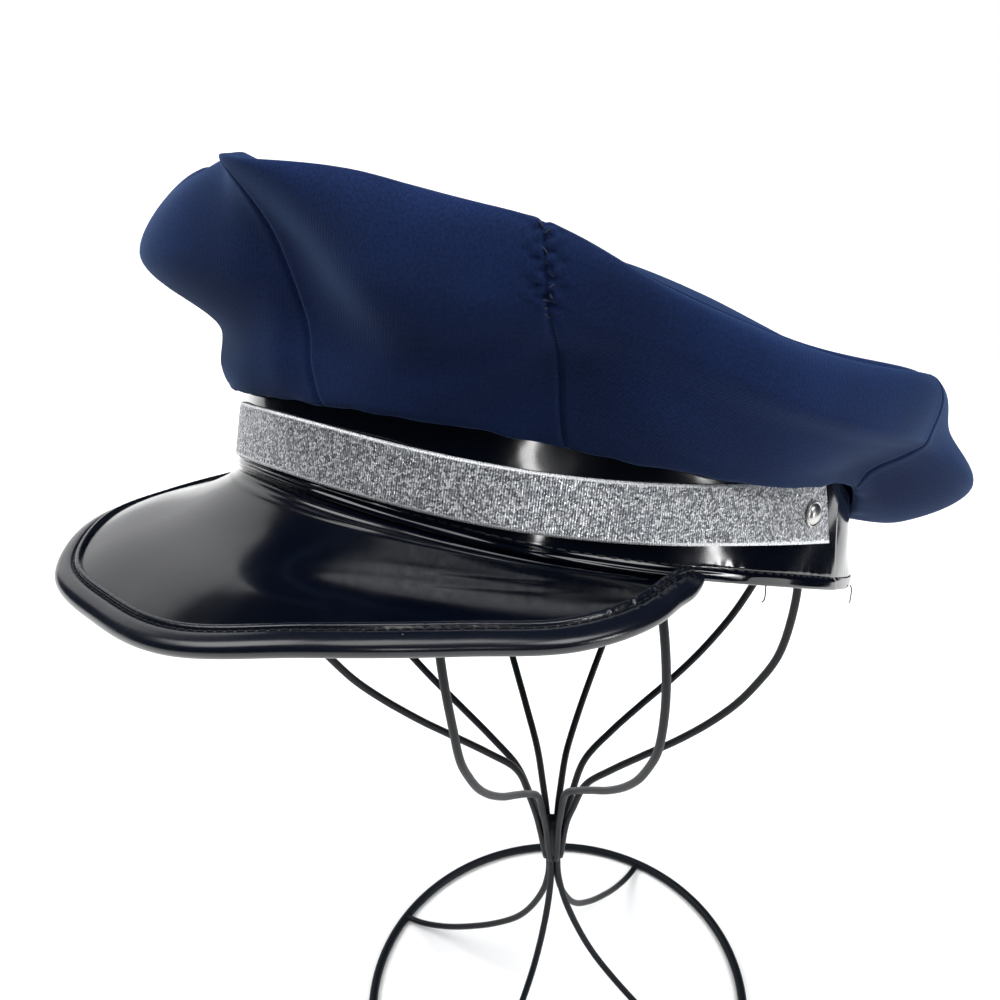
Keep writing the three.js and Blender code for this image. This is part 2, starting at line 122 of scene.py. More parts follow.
def grid_faces(rows, columns, wrap_rows=False, wrap_columns=False):
    """Corner numbers of the faces between neighbouring rows and columns of a grid whose
    points are counted row by row."""
    corners = np.arange(rows * columns).reshape(rows, columns)
    if wrap_rows:
        corners = np.concatenate([corners, corners[:1]], axis=0)
    if wrap_columns:
        corners = np.concatenate([corners, corners[:, :1]], axis=1)
    around = [corners[:-1, :-1], corners[:-1, 1:], corners[1:, 1:], corners[1:, :-1]]
    return np.stack(around, axis=-1).reshape(-1, 4)


def enclosed(points, faces):
    """Volume inside the faces: the sum of the small pyramids from the origin to each
    triangle. It comes out negative when the faces point inwards."""
    triangles = np.concatenate([faces[:, :3], faces[:, [0, 2, 3]]])
    a, b, c = (points[triangles[:, k]] for k in range(3))
    return np.einsum("ij,ij->i", a, np.cross(b, c)).sum() / 6


def outward(points, faces, ends=()):
    """Turns every face over where together they enclose a negative volume."""
    flat = points.reshape(-1, 3)
    if enclosed(flat - flat.mean(axis=0), faces) < 0:
        return faces[:, ::-1], [end[::-1] for end in ends]
    return faces, list(ends)


def tube_faces(rows, columns):
    """Faces of a tube: columns run round it, and a flat face closes its first and its last
    row."""
    lids = [list(range(columns))[::-1], list(range((rows - 1) * columns, rows * columns))]
    return grid_faces(rows, columns, wrap_columns=True), lids


def strip_faces(points):
    """Faces of a strip: its rows wrap round the section, and a flat face closes its first
    and its last column."""
    rows, columns = points.shape[:2]
    first = np.arange(rows) * columns
    ends = [first[::-1].tolist(), (first + columns - 1).tolist()]
    return outward(points, grid_faces(rows, columns, wrap_rows=True), ends)


def make_piece(name, points, faces, extra_faces=(), uv=None, slot=None, stands_for=()):
    """Points in metres and faces become a smooth mesh object that rides on the body."""
    flat = points.reshape(-1, 3)
    mesh = bpy.data.meshes.new(name)
    mesh.from_pydata(flat.tolist(), [], [*np.asarray(faces).tolist(), *extra_faces])
    mesh.polygons.foreach_set("use_smooth", np.ones(len(mesh.polygons), dtype=bool))
    if uv is not None:
        layer = mesh.uv_layers.new(name="cloth")
        layer.data.foreach_set("uv", np.asarray(uv, dtype=np.float32).ravel())
    mesh.update()
    piece = bpy.data.objects.new(name, mesh)
    bpy.context.scene.collection.objects.link(piece)
    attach(piece, BODY)
    if stands_for:
        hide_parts(*stands_for)
    print(f"{name}: {len(mesh.vertices)} points, {len(mesh.polygons)} faces")
    return piece


def point_uv(faces, values):
    """Spreads one pair of numbers per point over the corners of the faces."""
    return values.reshape(-1, 2)[np.asarray(faces).ravel()]


print("a grid of 3 by 4 points has", len(grid_faces(3, 4)), "faces")

# %% [markdown]
# ## Smooth curves through a few measured numbers
# The outline of soft cloth isn't a circle or a line. We note a few radii and heights,
# and let a cubic curve pass through them. The same rule made the CAD shape, so the fine
# surface lies on the coarse one. Folds and seams are added to it as small pushes along
# the surface: a bump is a bell curve, and a step is eased at both ends.

# %% Curves, bells and steps


def hermite(knots, values, x, level=False):
    """Cubic curve through the knots. At an inner knot its slope is the mean of the two
    neighbouring slopes, each weighted by the other's width. A level curve has no slope
    at its ends. The knots run along the last axis of values."""
    knots = np.asarray(knots, dtype=float)
    values = np.asarray(values, dtype=float)
    width = np.diff(knots)
    rise = np.diff(values, axis=-1) / width
    inner = (rise[..., :-1] * width[1:] + rise[..., 1:] * width[:-1]) / (width[1:] + width[:-1])
    ends = 0.0 if level else 1.0
    slope = np.concatenate([rise[..., :1] * ends, inner, rise[..., -1:] * ends], axis=-1)
    i = np.clip(np.searchsorted(knots, x, side="right") - 1, 0, len(knots) - 2)
    t = (x - knots[i]) / width[i]
    s = 1 - t
    from_left = values[..., i] * (1 + 2 * t) * s * s + width[i] * slope[..., i] * t * s * s
    from_right = values[..., i + 1] * t * t * (3 - 2 * t)
    return from_left + from_right - width[i] * slope[..., i + 1] * t * t * s


def bell(distance, width):
    """1 at no distance, falling to nothing over a few widths."""
    return np.exp(-(distance / width) ** 2)


def ease(x, start, end):
    """0 before start, 1 after end, and a soft S between them."""
    t = np.clip((x - start) / (end - start), 0, 1)
    return t * t * (3 - 2 * t)


def unit(vectors):
    """Vectors divided by their lengths."""
    return vectors / np.linalg.norm(vectors, axis=-1, keepdims=True)


def travelled(points):
    """Length along each line of points from its start, by adding up the steps. Lines run
    down the first axis."""
    steps = np.linalg.norm(np.diff(points, axis=0), axis=-1)
    return np.concatenate([np.zeros_like(steps[:1]), np.cumsum(steps, axis=0)])


def normals_of(points, wrap_columns=False):
    """Unit normals of a grid: across the row step and the column step at each point."""
    if wrap_columns:
        wide = np.concatenate([points[:, -1:], points, points[:, :1]], axis=1)
        along = np.gradient(wide, axis=1)[:, 1:-1]
    else:
        along = np.gradient(points, axis=1)
    up = np.gradient(points, axis=0)
    normal = np.cross(along, up)
    return normal / np.maximum(np.linalg.norm(normal, axis=-1, keepdims=True), 1e-9)


def tube(path, radius, side, binormal, rings=16):
    """A round tube carried along a path: centre + radius (side cos a + binormal sin a).
    The radius may change along the path."""
    a = np.linspace(0, 2 * np.pi, rings, endpoint=False)[None, :, None]
    wide = np.broadcast_to(radius, path.shape[:1])[:, None, None]
    return path[:, None] + wide * (side[:, None] * np.cos(a) + binormal[:, None] * np.sin(a))


def tube_piece(name, tubes, **facts):
    """Several tubes of the same number of rings as one piece, each closed by flat ends."""
    rows, columns = tubes[0].shape[:2]
    quads, lids = outward(tubes[0], *tube_faces(rows, columns))
    shifts = range(0, len(tubes) * rows * columns, rows * columns)
    faces = np.concatenate([quads + shift for shift in shifts])
    ends = [[k + shift for k in lid] for shift in shifts for lid in lids]
    return make_piece(name, np.concatenate(tubes), faces, ends, **facts)


print("a bell at half its width:", round(float(bell(0.5, 1.0)), 3))

# %% [markdown]
# ## Nodes and colours
# A material is a small network. One helper adds any node, sets its properties and fills
# its sockets, so that a network reads as a list. Colours are written as they look on a
# screen, and one function turns them into the linear values that light works with.

# %% Colour and node helpers


def linear(hex_colour):
    """sRGB hex to linear red, green, blue and full alpha."""
    channels = [int(hex_colour[k:k + 2], 16) / 255 for k in (1, 3, 5)]
    return [c / 12.92 if c <= 0.04045 else ((c + 0.055) / 1.055) ** 2.4 for c in channels] + [1]


def new_material(name):
    """An empty material with its shader and output joined up."""
    material = bpy.data.materials.new(name)
    material.use_nodes = True
    tree = material.node_tree
    return material, tree, tree.nodes["Principled BSDF"]


def fill(tree, node, inputs):
    """Gives each socket, named or counted, a value, or a link where that is a socket."""
    for name, value in inputs.items():
        if isinstance(value, bpy.types.NodeSocket):
            tree.links.new(value, node.inputs[name])
        else:
            node.inputs[name].default_value = value


def add_node(tree, kind, settings=(), inputs=(), stops=()):
    """Adds a node of any kind with its settings and links. Stops are those of a colour
    ramp, in rising order: a place and a hex colour each. Two are there already."""
    node = tree.nodes.new("ShaderNode" + kind)
    for name, value in dict(settings).items():
        setattr(node, name, value)
    fill(tree, node, dict(inputs))
    for k, (place, colour) in enumerate(stops):
        elements = node.color_ramp.elements
        element = elements[k] if k < 2 else elements.new(place)
        element.position = place
        element.color = linear(colour)
    return node


# a mix of two colours: its settings, the numbers of its sockets and that of its output
BLEND = {"data_type": "RGBA", "blend_type": "MIX"}
TINT = {"data_type": "RGBA", "blend_type": "MULTIPLY"}
SHARE, FIRST, SECOND = 0, 6, 7
MIXED = 2
print("mid grey is", round(linear("#808080")[0], 3), "in linear light")

# %% [markdown]
# ## Twill cloth
# The crown is a light polyester twill: fine diagonal ribs, a soft matt face, and a faint
# bloom where it is seen edge on. The ribs follow the cloth, so they read the piece's own
# flat map, which is in millimetres. Real ribs are about 0.4 mm apart. They are drawn
# 0.9 mm apart here, because finer ones would vanish between the pixels.

# %% Navy polyester twill, woven
RIB = 0.9  # mm, drawn coarser than the real 0.4
FUZZ = 0.77  # mm, length of the fibres that stand off the face
MOTTLE = 38.5  # mm, patches where the cloth is rubbed or stretched
NAP = 0.1  # mm, height of ribs and fibres
WAVE_UNIT = math.pi / 10  # a wave texture of scale 1 repeats after this length


def twill(name, dark, light, sheen_tint):
    """Ribs and fibres make the relief, patches shift the colour between two navies, and
    sheen lights the fibres where the cloth turns away."""
    material, tree, shader = new_material(name)
    flat = add_node(tree, "UVMap", {"uv_map": "cloth"}).outputs["UV"]
    place = add_node(tree, "TexCoord").outputs["Object"]
    turned = add_node(tree, "Mapping", inputs={"Vector": flat,
                                               "Rotation": (0, 0, math.radians(28))})
    ribs = add_node(tree, "TexWave", {"bands_direction": "X"},
                    {"Vector": turned.outputs["Vector"], "Scale": WAVE_UNIT / RIB,
                     "Distortion": 1.2, "Detail": 1.0, "Detail Scale": 1.5})
    fuzz = add_node(tree, "TexNoise", inputs={"Vector": flat, "Scale": 1 / FUZZ, "Detail": 3.0})
    mottle = add_node(tree, "TexNoise", inputs={"Vector": place, "Scale": 1 / (MOTTLE * MM),
                                                "Detail": 3.0})
    patches = add_node(tree, "MapRange", inputs={"Value": mottle.outputs["Fac"],
                                                 "From Min": 0.3, "From Max": 0.7})
    fibres = add_node(tree, "ValToRGB", inputs={"Fac": fuzz.outputs["Fac"]},
                      stops=[(0.35, "#8a8a8a"), (0.65, "#ffffff")])
    dyed = add_node(tree, "Mix", BLEND, {SHARE: patches.outputs["Result"],
                                         FIRST: linear(dark), SECOND: linear(light)})
    worn = add_node(tree, "Mix", TINT, {SHARE: 0.5, FIRST: dyed.outputs[MIXED],
                                        SECOND: fibres.outputs["Color"]})
    height = add_node(tree, "Math", {"operation": "MULTIPLY_ADD"},
                      {0: fuzz.outputs["Fac"], 1: 2.5, 2: ribs.outputs["Fac"]})
    bump = add_node(tree, "Bump", inputs={"Height": height.outputs["Value"],
                                          "Strength": 0.3, "Distance": NAP * MM})
    fill(tree, shader, {"Base Color": worn.outputs[MIXED], "Roughness": 0.9, "IOR": 1.5,
                        "Specular IOR Level": 0.12, "Sheen Weight": 0.34,
                        "Sheen Roughness": 0.42, "Sheen Tint": linear(sheen_tint),
                        "Normal": bump.outputs["Normal"]})
    return material


navy_twill = twill("navy_polyester_twill", "#0d1a38", "#12234a", "#7090c4")
print("twill ribs drawn every", RIB, "mm")

# %% [markdown]
# ## Patent vinyl
# Band and visor are cloth-backed vinyl with a poured, mirror-like skin. Such a skin is
# almost black and very smooth, with a faint orange peel from the coating: a slow wave a
# few millimetres long and a few hundredths high. Dust and fine rub marks show on it.

# %% Black patent vinyl, coated
SMEAR = 22.2  # mm, rub marks from handling
PEEL = 6.25  # mm, slow waves of the poured skin
SPECK = 2.38  # mm between grains of dust
DUSTY = 3.33  # mm, spots where dust stays
PEEL_DEPTH = 0.1  # mm


def patent(name, colour, roughness, peel):
    """A dark skin whose gloss dulls in the smears, with slow waves of the given strength.
    A speck is the middle of a cell, and it shows only where a second noise is high."""
    material, tree, shader = new_material(name)
    place = add_node(tree, "TexCoord").outputs["Object"]
    smears = add_node(tree, "TexNoise", inputs={"Vector": place, "Scale": 1 / (SMEAR * MM),
                                                "Detail": 5.0})
    gloss = add_node(tree, "MapRange", inputs={"Value": smears.outputs["Fac"], "From Min": 0.35,
                                               "From Max": 0.75, "To Min": roughness,
                                               "To Max": roughness + 0.10})
    waves = add_node(tree, "TexNoise", inputs={"Vector": place, "Scale": 1 / (PEEL * MM),
                                               "Detail": 1.0})
    dust = add_node(tree, "TexVoronoi", inputs={"Vector": place, "Scale": 1 / (SPECK * MM)})
    specks = add_node(tree, "MapRange", inputs={"Value": dust.outputs["Distance"],
                                                "From Min": 0.05, "From Max": 0.09,
                                                "To Min": 1.0, "To Max": 0.0})
    spots = add_node(tree, "TexNoise", inputs={"Vector": place, "Scale": 1 / (DUSTY * MM)})
    sparse = add_node(tree, "Math", {"operation": "GREATER_THAN"},
                      {0: spots.outputs["Fac"], 1: 0.68})
    both = add_node(tree, "Math", {"operation": "MULTIPLY"},
                    {0: specks.outputs["Result"], 1: sparse.outputs["Value"]})
    skin = add_node(tree, "Mix", BLEND, {SHARE: both.outputs["Value"], FIRST: linear(colour),
                                         SECOND: linear("#56585c")})
    bump = add_node(tree, "Bump", inputs={"Height": waves.outputs["Fac"], "Strength": peel,
                                          "Distance": PEEL_DEPTH * MM})
    fill(tree, shader, {"Base Color": skin.outputs[MIXED], "Roughness": gloss.outputs["Result"],
                        "IOR": 1.54, "Normal": bump.outputs["Normal"]})
    return material


band_vinyl = patent("black_patent_vinyl_band", "#03050d", 0.07, 0.35)
visor_vinyl = patent("black_patent_vinyl_visor", "#02040b", 0.12, 0.10)
binding_vinyl = patent("black_vinyl_binding", "#080c15", 0.20, 0.4)
print("orange peel about", PEEL, "mm long")

# %% [markdown]
# ## Metallic ribbon
# The ribbon is woven from flat metallised film and grey polyester. Each film thread
# glints on its own, so the face sparkles: some grains are nearly white, others dark.
# Threads across the ribbon make fine upright ribs about 0.6 mm apart, and both edges
# have a denser selvedge, with a highlight painted along it in near-white.

# %% Silver metallic yarn, woven
RIBBON_RIB = 0.62  # mm
GLINT = 0.48  # mm
YARN = 0.16  # mm, height of the yarns
EDGE_HIGHLIGHT = (0.9, 0.6)  # mm in from the ribbon's edge, where the bright edge starts and is full


def metallic_ribbon(name, half_width):
    """Each cell of a Voronoi pattern is one glint: it has its own grey, gloss and height,
    and the ribs are added to grey and height. The edge is told by the flat map."""
    material, tree, shader = new_material(name)
    flat = add_node(tree, "UVMap", {"uv_map": "cloth"}).outputs["UV"]
    grains = add_node(tree, "TexVoronoi", inputs={"Vector": flat, "Scale": 1 / GLINT})
    ribs = add_node(tree, "TexWave", {"bands_direction": "X"},
                    {"Vector": flat, "Scale": WAVE_UNIT / RIBBON_RIB, "Distortion": 1.5,
                     "Detail": 1.0, "Detail Scale": 2.0})
    grain = add_node(tree, "SeparateColor", inputs={"Color": grains.outputs["Color"]})
    sparkle = add_node(tree, "Math", {"operation": "MULTIPLY_ADD"},
                       {0: ribs.outputs["Fac"], 1: 0.4, 2: grain.outputs["Red"]})
    face = add_node(tree, "ValToRGB", inputs={"Fac": sparkle.outputs["Value"]},
                    stops=[(0.12, "#46484d"), (0.5, "#808388"), (0.9, "#b4b6bb"),
                           (1.0, "#f4f5f6")])
    across = add_node(tree, "SeparateXYZ", inputs={"Vector": flat})
    away = add_node(tree, "Math", {"operation": "ABSOLUTE"}, {0: across.outputs["Y"]})
    # painted highlight: a near-white line along each raised selvedge
    edge = add_node(tree, "MapRange", inputs={"Value": away.outputs["Value"],
                                              "From Min": half_width - EDGE_HIGHLIGHT[0],
                                              "From Max": half_width - EDGE_HIGHLIGHT[1]})
    woven = add_node(tree, "Mix", BLEND, {SHARE: edge.outputs["Result"],
                                          FIRST: face.outputs["Color"],
                                          SECOND: linear("#eef0f2")})
    rough = add_node(tree, "MapRange", inputs={"Value": grain.outputs["Green"],
                                               "To Min": 0.22, "To Max": 0.6})
    height = add_node(tree, "Math", {"operation": "MULTIPLY_ADD"},
                      {0: grain.outputs["Blue"], 1: 0.9, 2: ribs.outputs["Fac"]})
    bump = add_node(tree, "Bump", inputs={"Height": height.outputs["Value"], "Strength": 0.8,
                                          "Distance": YARN * MM})
    fill(tree, shader, {"Base Color": woven.outputs[MIXED], "Metallic": 0.6,
                        "Roughness": rough.outputs["Result"], "Normal": bump.outputs["Normal"]})
    return material


print("ribbon ribs every", RIBBON_RIB, "mm, glints of", GLINT, "mm")

# %% [markdown]
# ## Thread, wire and rivet
# Sewing thread is twisted polyester, dull and dark. The stand's wire is drawn steel
# under satin black powder paint, which leaves a faint grain. The rivets are pressed
# from nickel-plated steel, bright with fine rub marks.

# %% Small finishes


def simple_finish(name, colour, other, grain, roughness, metallic=0.0, bump_depth=0.02,
                  specular=0.5):
    """A finish with a grain of the given size in mm in its colour, gloss and relief."""
    material, tree, shader = new_material(name)
    place = add_node(tree, "TexCoord").outputs["Object"]
    noise = add_node(tree, "TexNoise", inputs={"Vector": place, "Scale": 1 / (grain * MM),
                                               "Detail": 3.0})
    mixed = add_node(tree, "Mix", BLEND, {SHARE: noise.outputs["Fac"], FIRST: linear(colour),
                                          SECOND: linear(other)})
    rough = add_node(tree, "MapRange", inputs={"Value": noise.outputs["Fac"],
                                               "To Min": roughness - 0.06,
                                               "To Max": roughness + 0.08})
    bump = add_node(tree, "Bump", inputs={"Height": noise.outputs["Fac"], "Strength": 0.4,
                                          "Distance": bump_depth * MM})
    fill(tree, shader, {"Base Color": mixed.outputs[MIXED], "Metallic": metallic,
                        "Roughness": rough.outputs["Result"], "Specular IOR Level": specular,
                        "Normal": bump.outputs["Normal"]})
    return material


# powder paint drinks light; its soft gleam follows the wire
wire_paint = simple_finish("satin_black_powder_coat", "#0a0e13", "#12171d", 0.8, 0.42,
                           specular=0.2)
# twisted thread has no gleam, only a grain as long as its twist
black_thread = simple_finish("black_polyester_thread", "#08090c", "#14161b", 0.3, 0.8)
navy_thread = simple_finish("navy_polyester_thread", "#090d1a", "#1c2640", 0.5, 0.7)
# nickel is a warm pale metal, blurred by rub marks
nickel = simple_finish("nickel_plated_steel", "#b4b3b0", "#d0cfcc", 2.0, 0.3, 1.0, 0.01)
print("small finishes:", wire_paint.name, black_thread.name, navy_thread.name, nickel.name)

# %% [markdown]
# ## The wire stand
# Eight wires bulge out into a head and meet again on top, and four wires spread down to
# the base ring. The head's wires share one profile and the legs another, turned round
# the axis, and handling has bent each head wire off it a little. A tube is carried along
# each: at every point of the curve a circle is laid across its direction. The wires run
# together at the neck, where they are welded into one lump.

# %% Wires of the head and the legs
WIRE = 1.25  # radius, mm
# radius and height of a wire's middle line in mm: from the neck up, and from the neck down
HEAD_PROFILE = np.array([
    [2.9, 92], [3.6, 97], [4.7, 106], [5.9, 113], [8.5, 122], [13.4, 136], [22.8, 147],
    [34.1, 158.5], [46.1, 170.5], [57.3, 183.5], [65, 194.5], [70.3, 204.5], [74.8, 215],
    [77.9, 232], [78.5, 248], [75.8, 268.3], [68, 287.3], [55.5, 303.5], [39.3, 316],
    [20.3, 323.8], [0.6, 326.5]])
LEG_PROFILE = np.array([
    [2.3, 103], [1.9, 95], [1.8, 87.5], [2.0, 82], [4.2, 70], [9, 57], [17, 43], [28, 31],
    [41, 20], [58, 8.5], [70, 3.2], [78, 1.9]])
# how each head wire is bent off the profile: raised, mm, and turned, degrees
HEAD_BENDS = [(1.9, 3.7), (2.9, 1.1), (-0.5, 0.3), (3.0, -9.4), (-2.7, -6.3), (0.9, -0.9),
              (-1.4, 1.3), (7.7, -4.0)]
HEAD_WIRES = len(HEAD_BENDS)
LEG_WIRES = 4
FIRST_HEAD_WIRE = 32.1  # azimuth
FIRST_LEG = 24.7
# heights between which the turn and the raise come in, and those where they fade again
TURN_IN, TURN_OUT = (106, 180), (225, 300)
RAISE_IN, RAISE_OUT = (106, 132), (175, 270)


def wire(profile, azimuth, steps, raised=0.0, turned=0.0):
    """A tube along a profile that is turned to the azimuth: the path is the smooth curve
    through the profile's rows, spaced by their distances. A bend comes in above the
    neck and fades towards the top."""
    knots = travelled(profile)
    radius, height = hermite(knots, profile.T, np.linspace(0, knots[-1], steps))
    turn = turned * ease(height, *TURN_IN) * (1 - ease(height, *TURN_OUT))
    lift = raised * ease(height, *RAISE_IN) * (1 - ease(height, *RAISE_OUT))
    path = polar(azimuth + turn, radius, height + lift)
    forward = unit(np.gradient(path, axis=0))
    level = np.broadcast_to(polar(azimuth + 90, 1.0, 0.0), path.shape)
    return stand_to_row(tube(path, WIRE, np.cross(forward, level), level))


head_wires = tube_piece(
    "head_wires", [wire(HEAD_PROFILE, FIRST_HEAD_WIRE + 360 / HEAD_WIRES * k, 150, *HEAD_BENDS[k])
                   for k in range(HEAD_WIRES)],
    slot="black_wire", stands_for=[f"head_wire_{k + 1}" for k in range(HEAD_WIRES)])
leg_wires = tube_piece(
    "leg_wires", [wire(LEG_PROFILE, FIRST_LEG + 360 / LEG_WIRES * k, 90)
                  for k in range(LEG_WIRES)],
    slot="black_wire", stands_for=[f"leg_wire_{k + 1}" for k in range(LEG_WIRES)])

# %% Ring and welds


def turned(profile, columns, lumps=0.0):
    """A profile of radius and height turned round the axis. Lumps make it uneven, as weld
    metal is: radius times 1 + lumps (cos(8a - 4.7) + 0.6 sin 3a)."""
    azimuth = np.linspace(0, 360, columns, endpoint=False)
    a = np.radians(azimuth)
    uneven = 1 + lumps * (np.cos(8 * a - 4.7) + 0.6 * np.sin(3 * a))
    return polar(azimuth, profile[:, :1] * uneven, profile[:, 1:])


def turned_piece(name, profile, columns, lumps=0.0, **facts):
    """A turned profile as a piece; its rows are closed on themselves."""
    points = stand_to_row(turned(profile, columns, lumps))
    faces, _ = outward(points, grid_faces(len(profile), columns, wrap_rows=True,
                                          wrap_columns=True))
    return make_piece(name, points, faces, **facts)


RING_RADIUS = 78.0
RING_WIRE = 1.8  # radius of its wire, mm
loop = np.linspace(0, 2 * np.pi, 24, endpoint=False)
# the CAD ring has eight sides and rests on one of them, so its middle is this high
ring_middle = RING_WIRE * math.cos(math.pi / 8)
ring_height = np.maximum(ring_middle + RING_WIRE * np.sin(loop), 0.0)
ring_profile = np.stack([RING_RADIUS + RING_WIRE * np.cos(loop), ring_height], axis=1)
base_ring = turned_piece("base_ring_wire", ring_profile, 240, slot="black_wire",
                         stands_for=["base_ring"])

# radius and height of the lumps of weld
NECK_ROWS = np.array([[0.4, 90.5], [2.2, 91], [3.6, 94], [4.3, 98], [4.6, 103], [4.0, 108],
                      [2.6, 111.5], [0.4, 113]])
neck_weld = turned_piece("neck_weld_metal", NECK_ROWS, 48, 0.05, slot="black_wire",
                         stands_for=["neck_weld"])
TOP_ROWS = np.array([[0.4, 324.7], [3.4, 324.9], [4.7, 325.6], [4.9, 326.6], [3.8, 327.6],
                     [0.4, 327.9]])
top_weld = turned_piece("top_weld_metal", TOP_ROWS, 32, 0.04, slot="black_wire",
                        stands_for=["top_weld"])
for piece in (head_wires, leg_wires, base_ring, neck_weld, top_weld):
    piece.data.materials.append(wire_paint)

# %% [markdown]
# ## The band
# The band is a long strip of vinyl bent to an oval. Its lower edge is folded up inside
# and stitched, and the strip overlaps itself behind the wearer's left ear. Vinyl that is
# bent and handled keeps shallow creases. All of that is one number per point: how far the
# skin stands out from the plain oval.

# %% The oval of the band
BAND_HALF_LENGTH = 93.7
BAND_HALF_WIDTH = 88.0
BAND_WALL = 2.0
BACK_LEAN = -0.18
FRONT_BOTTOM = -10.7
BACK_DROP = 14.4
OVERLAP_AT = 111.0  # azimuth where the strip's outer end lies


def band_ripple(angle):
    """The band's slow wave up and down round the head, in mm: cosines of two, three and
    four waves."""
    a = np.radians(angle)
    return 0.3 * np.cos(2 * a) + 0.4 * np.cos(3 * a) + np.cos(4 * a)


def back_share(angle):
    """0 at the front, 1 at the back, by half of 1 - cos a."""
    return (1 - np.cos(np.radians(angle))) / 2


def band_radius(angle, height=0.0):
    """Radius of an ellipse at this azimuth, less a lean of the back with height."""
    a = np.radians(angle)
    oval = BAND_HALF_LENGTH * BAND_HALF_WIDTH / np.hypot(BAND_HALF_WIDTH * np.cos(a),
                                                         BAND_HALF_LENGTH * np.sin(a))
    return oval + BACK_LEAN * back_share(angle) * height


def band_bottom(angle):
    """Height of the band's lower edge: level at the front, lower at the back."""
    return FRONT_BOTTOM + band_ripple(angle) - BACK_DROP * back_share(angle)


mean_radius = math.hypot(BAND_HALF_LENGTH, BAND_HALF_WIDTH) / math.sqrt(2)
print("band, mm round:", round(2 * math.pi * mean_radius))

# %% [markdown]
# ## The crown
# The crown is six panels of soft twill round a flat top panel. It rises from the band,
# folds over the wire head and slumps. The table gives its section at fifteen places
# round the head, from the fold at the band out to the bulge, the waist, the rim and the
# top edge, read from the photograph on the side it shows and kept plain on the other.

# %% Sections of the crown
# head and foot are azimuths at the top edge and at the band; then radius and height of
# fold, bulge, waist, rim and edge, in mm
CROWN_ROWS = np.array([
    [-180, -174, 98.0, 1.0, 106.0, 7.0, 118.0, 16.0, 116.0, 27.0, 111.0, 42.5],
    [-128, -119, 94.0, 6.0, 104.0, 12.0, 114.0, 20.0, 117.0, 32.0, 108.0, 45.0],
    [-103, -94, 92.0, 10.0, 98.0, 18.0, 106.0, 28.0, 115.0, 41.0, 116.0, 50.0],
    [-74, -64, 93.0, 11.0, 98.0, 19.0, 105.0, 29.0, 120.0, 43.0, 108.0, 59.0],
    [-40, -29, 97.0, 10.5, 101.0, 16.5, 104.0, 31.0, 127.0, 42.0, 112.0, 69.0],
    [-18, -7, 98.0, 12.0, 101.0, 16.5, 102.5, 27.0, 120.5, 44.0, 112.5, 65.0],
    [-5, 6, 97.0, 13.3, 100.0, 20.5, 101.5, 32.0, 111.5, 47.5, 110.5, 70.5],
    [3, 14, 97.0, 13.8, 99.0, 22.0, 99.0, 34.0, 107.5, 52.0, 120.5, 68.5],
    [23, 33, 97.0, 14.5, 100.5, 21.0, 104.0, 31.0, 115.0, 46.0, 114.0, 68.0],
    [32, 41, 95.5, 14.0, 99.0, 20.5, 104.0, 32.5, 114.0, 46.5, 113.0, 66.5],
    [44, 51, 93.5, 12.8, 97.0, 20.0, 103.0, 35.0, 112.0, 46.0, 113.0, 64.0],
    [58, 64, 92.5, 11.0, 96.5, 18.0, 104.0, 32.0, 112.0, 43.0, 111.5, 56.0],
    [75, 82, 92.0, 9.5, 97.0, 15.0, 106.0, 26.0, 113.5, 34.5, 108.5, 49.0],
    [106, 116, 91.0, 8.5, 95.0, 14.5, 104.5, 22.0, 109.5, 29.5, 108.5, 45.5],
    [130, 140, 93.0, -4.0, 107.0, -1.5, 123.5, 13.0, 113.5, 29.5, 103.0, 39.5],
    [180, 186, 98.0, 1.0, 106.0, 7.0, 118.0, 16.0, 116.0, 27.0, 111.0, 42.5]])
SEAMS = np.array([-180, -103, -40, 3, 44, 106, 180])
CENTRE_HEIGHT = 63.2
TOP_SAG = 4.0
SIDE_LEAN = -0.06
EDGE_KNOT = 5.0  # the section's knot at the top edge
LAST_KNOT = 9.0
print("crown sections:", len(CROWN_ROWS) - 1, "in", len(SEAMS) - 1, "panels")

# %% The crown's surface
TIGHTEN = 0.7  # how strongly columns are drawn to the seams
# shares of the edge's radius, and of the climb to the middle, where the top has knots
TOP_RADII = (0.75, 0.4, 0.16, 0)
TOP_CLIMBS = (0.27, 0.64, 0.95)


def crown_columns():
    """Azimuths of the columns: each panel is shared out evenly, then drawn towards its
    two seams by a sine, so that a seam's groove has fine columns."""
    spans = []
    for start, end in zip(SEAMS[:-1], SEAMS[1:]):
        t = np.linspace(0, 1, round(end - start), endpoint=False)
        drawn = t - TIGHTEN * np.sin(2 * np.pi * t) / (2 * np.pi)
        spans.append(start + (end - start) * drawn)
    return np.concatenate(spans)


def crown_surface(heads, positions):
    """Cap points of the crown for azimuths at the edge and places along the section.
    The section is a cubic curve through ten knots; the azimuth slides from foot to head
    as it rises, which twists the cloth a little."""
    names = hermite(CROWN_ROWS[:, 0], CROWN_ROWS.T[1:], heads, level=True)
    foot, fold_r, fold_z, bulge_r, bulge_z, waist_r, waist_z, rim_r, rim_z, edge_r, edge_z = names
    climb = CENTRE_HEIGHT - edge_z
    on_top = [edge_z + share * climb for share in TOP_CLIMBS]
    on_top[0] = on_top[0] - TOP_SAG
    radii = [band_radius(foot, fold_z) - 0.3, fold_r, bulge_r, waist_r, rim_r, edge_r,
             *[share * edge_r for share in TOP_RADII]]
    heights = [fold_z + 1, fold_z, bulge_z, waist_z, rim_z, edge_z, *on_top,
               CENTRE_HEIGHT + 0 * edge_z]
    knots = np.arange(LAST_KNOT + 1)
    radius = hermite(knots, np.stack(radii, axis=-1), positions).T
    height = hermite(knots, np.stack(heights, axis=-1), positions).T
    rise = (np.minimum(positions / EDGE_KNOT, 1) ** 1.3)[:, None]
    angle = foot + (heads - foot) * rise
    lean = SIDE_LEAN * radius * np.sin(np.radians(angle)) * rise
    return polar(angle, np.maximum(radius, 0), height + lean)


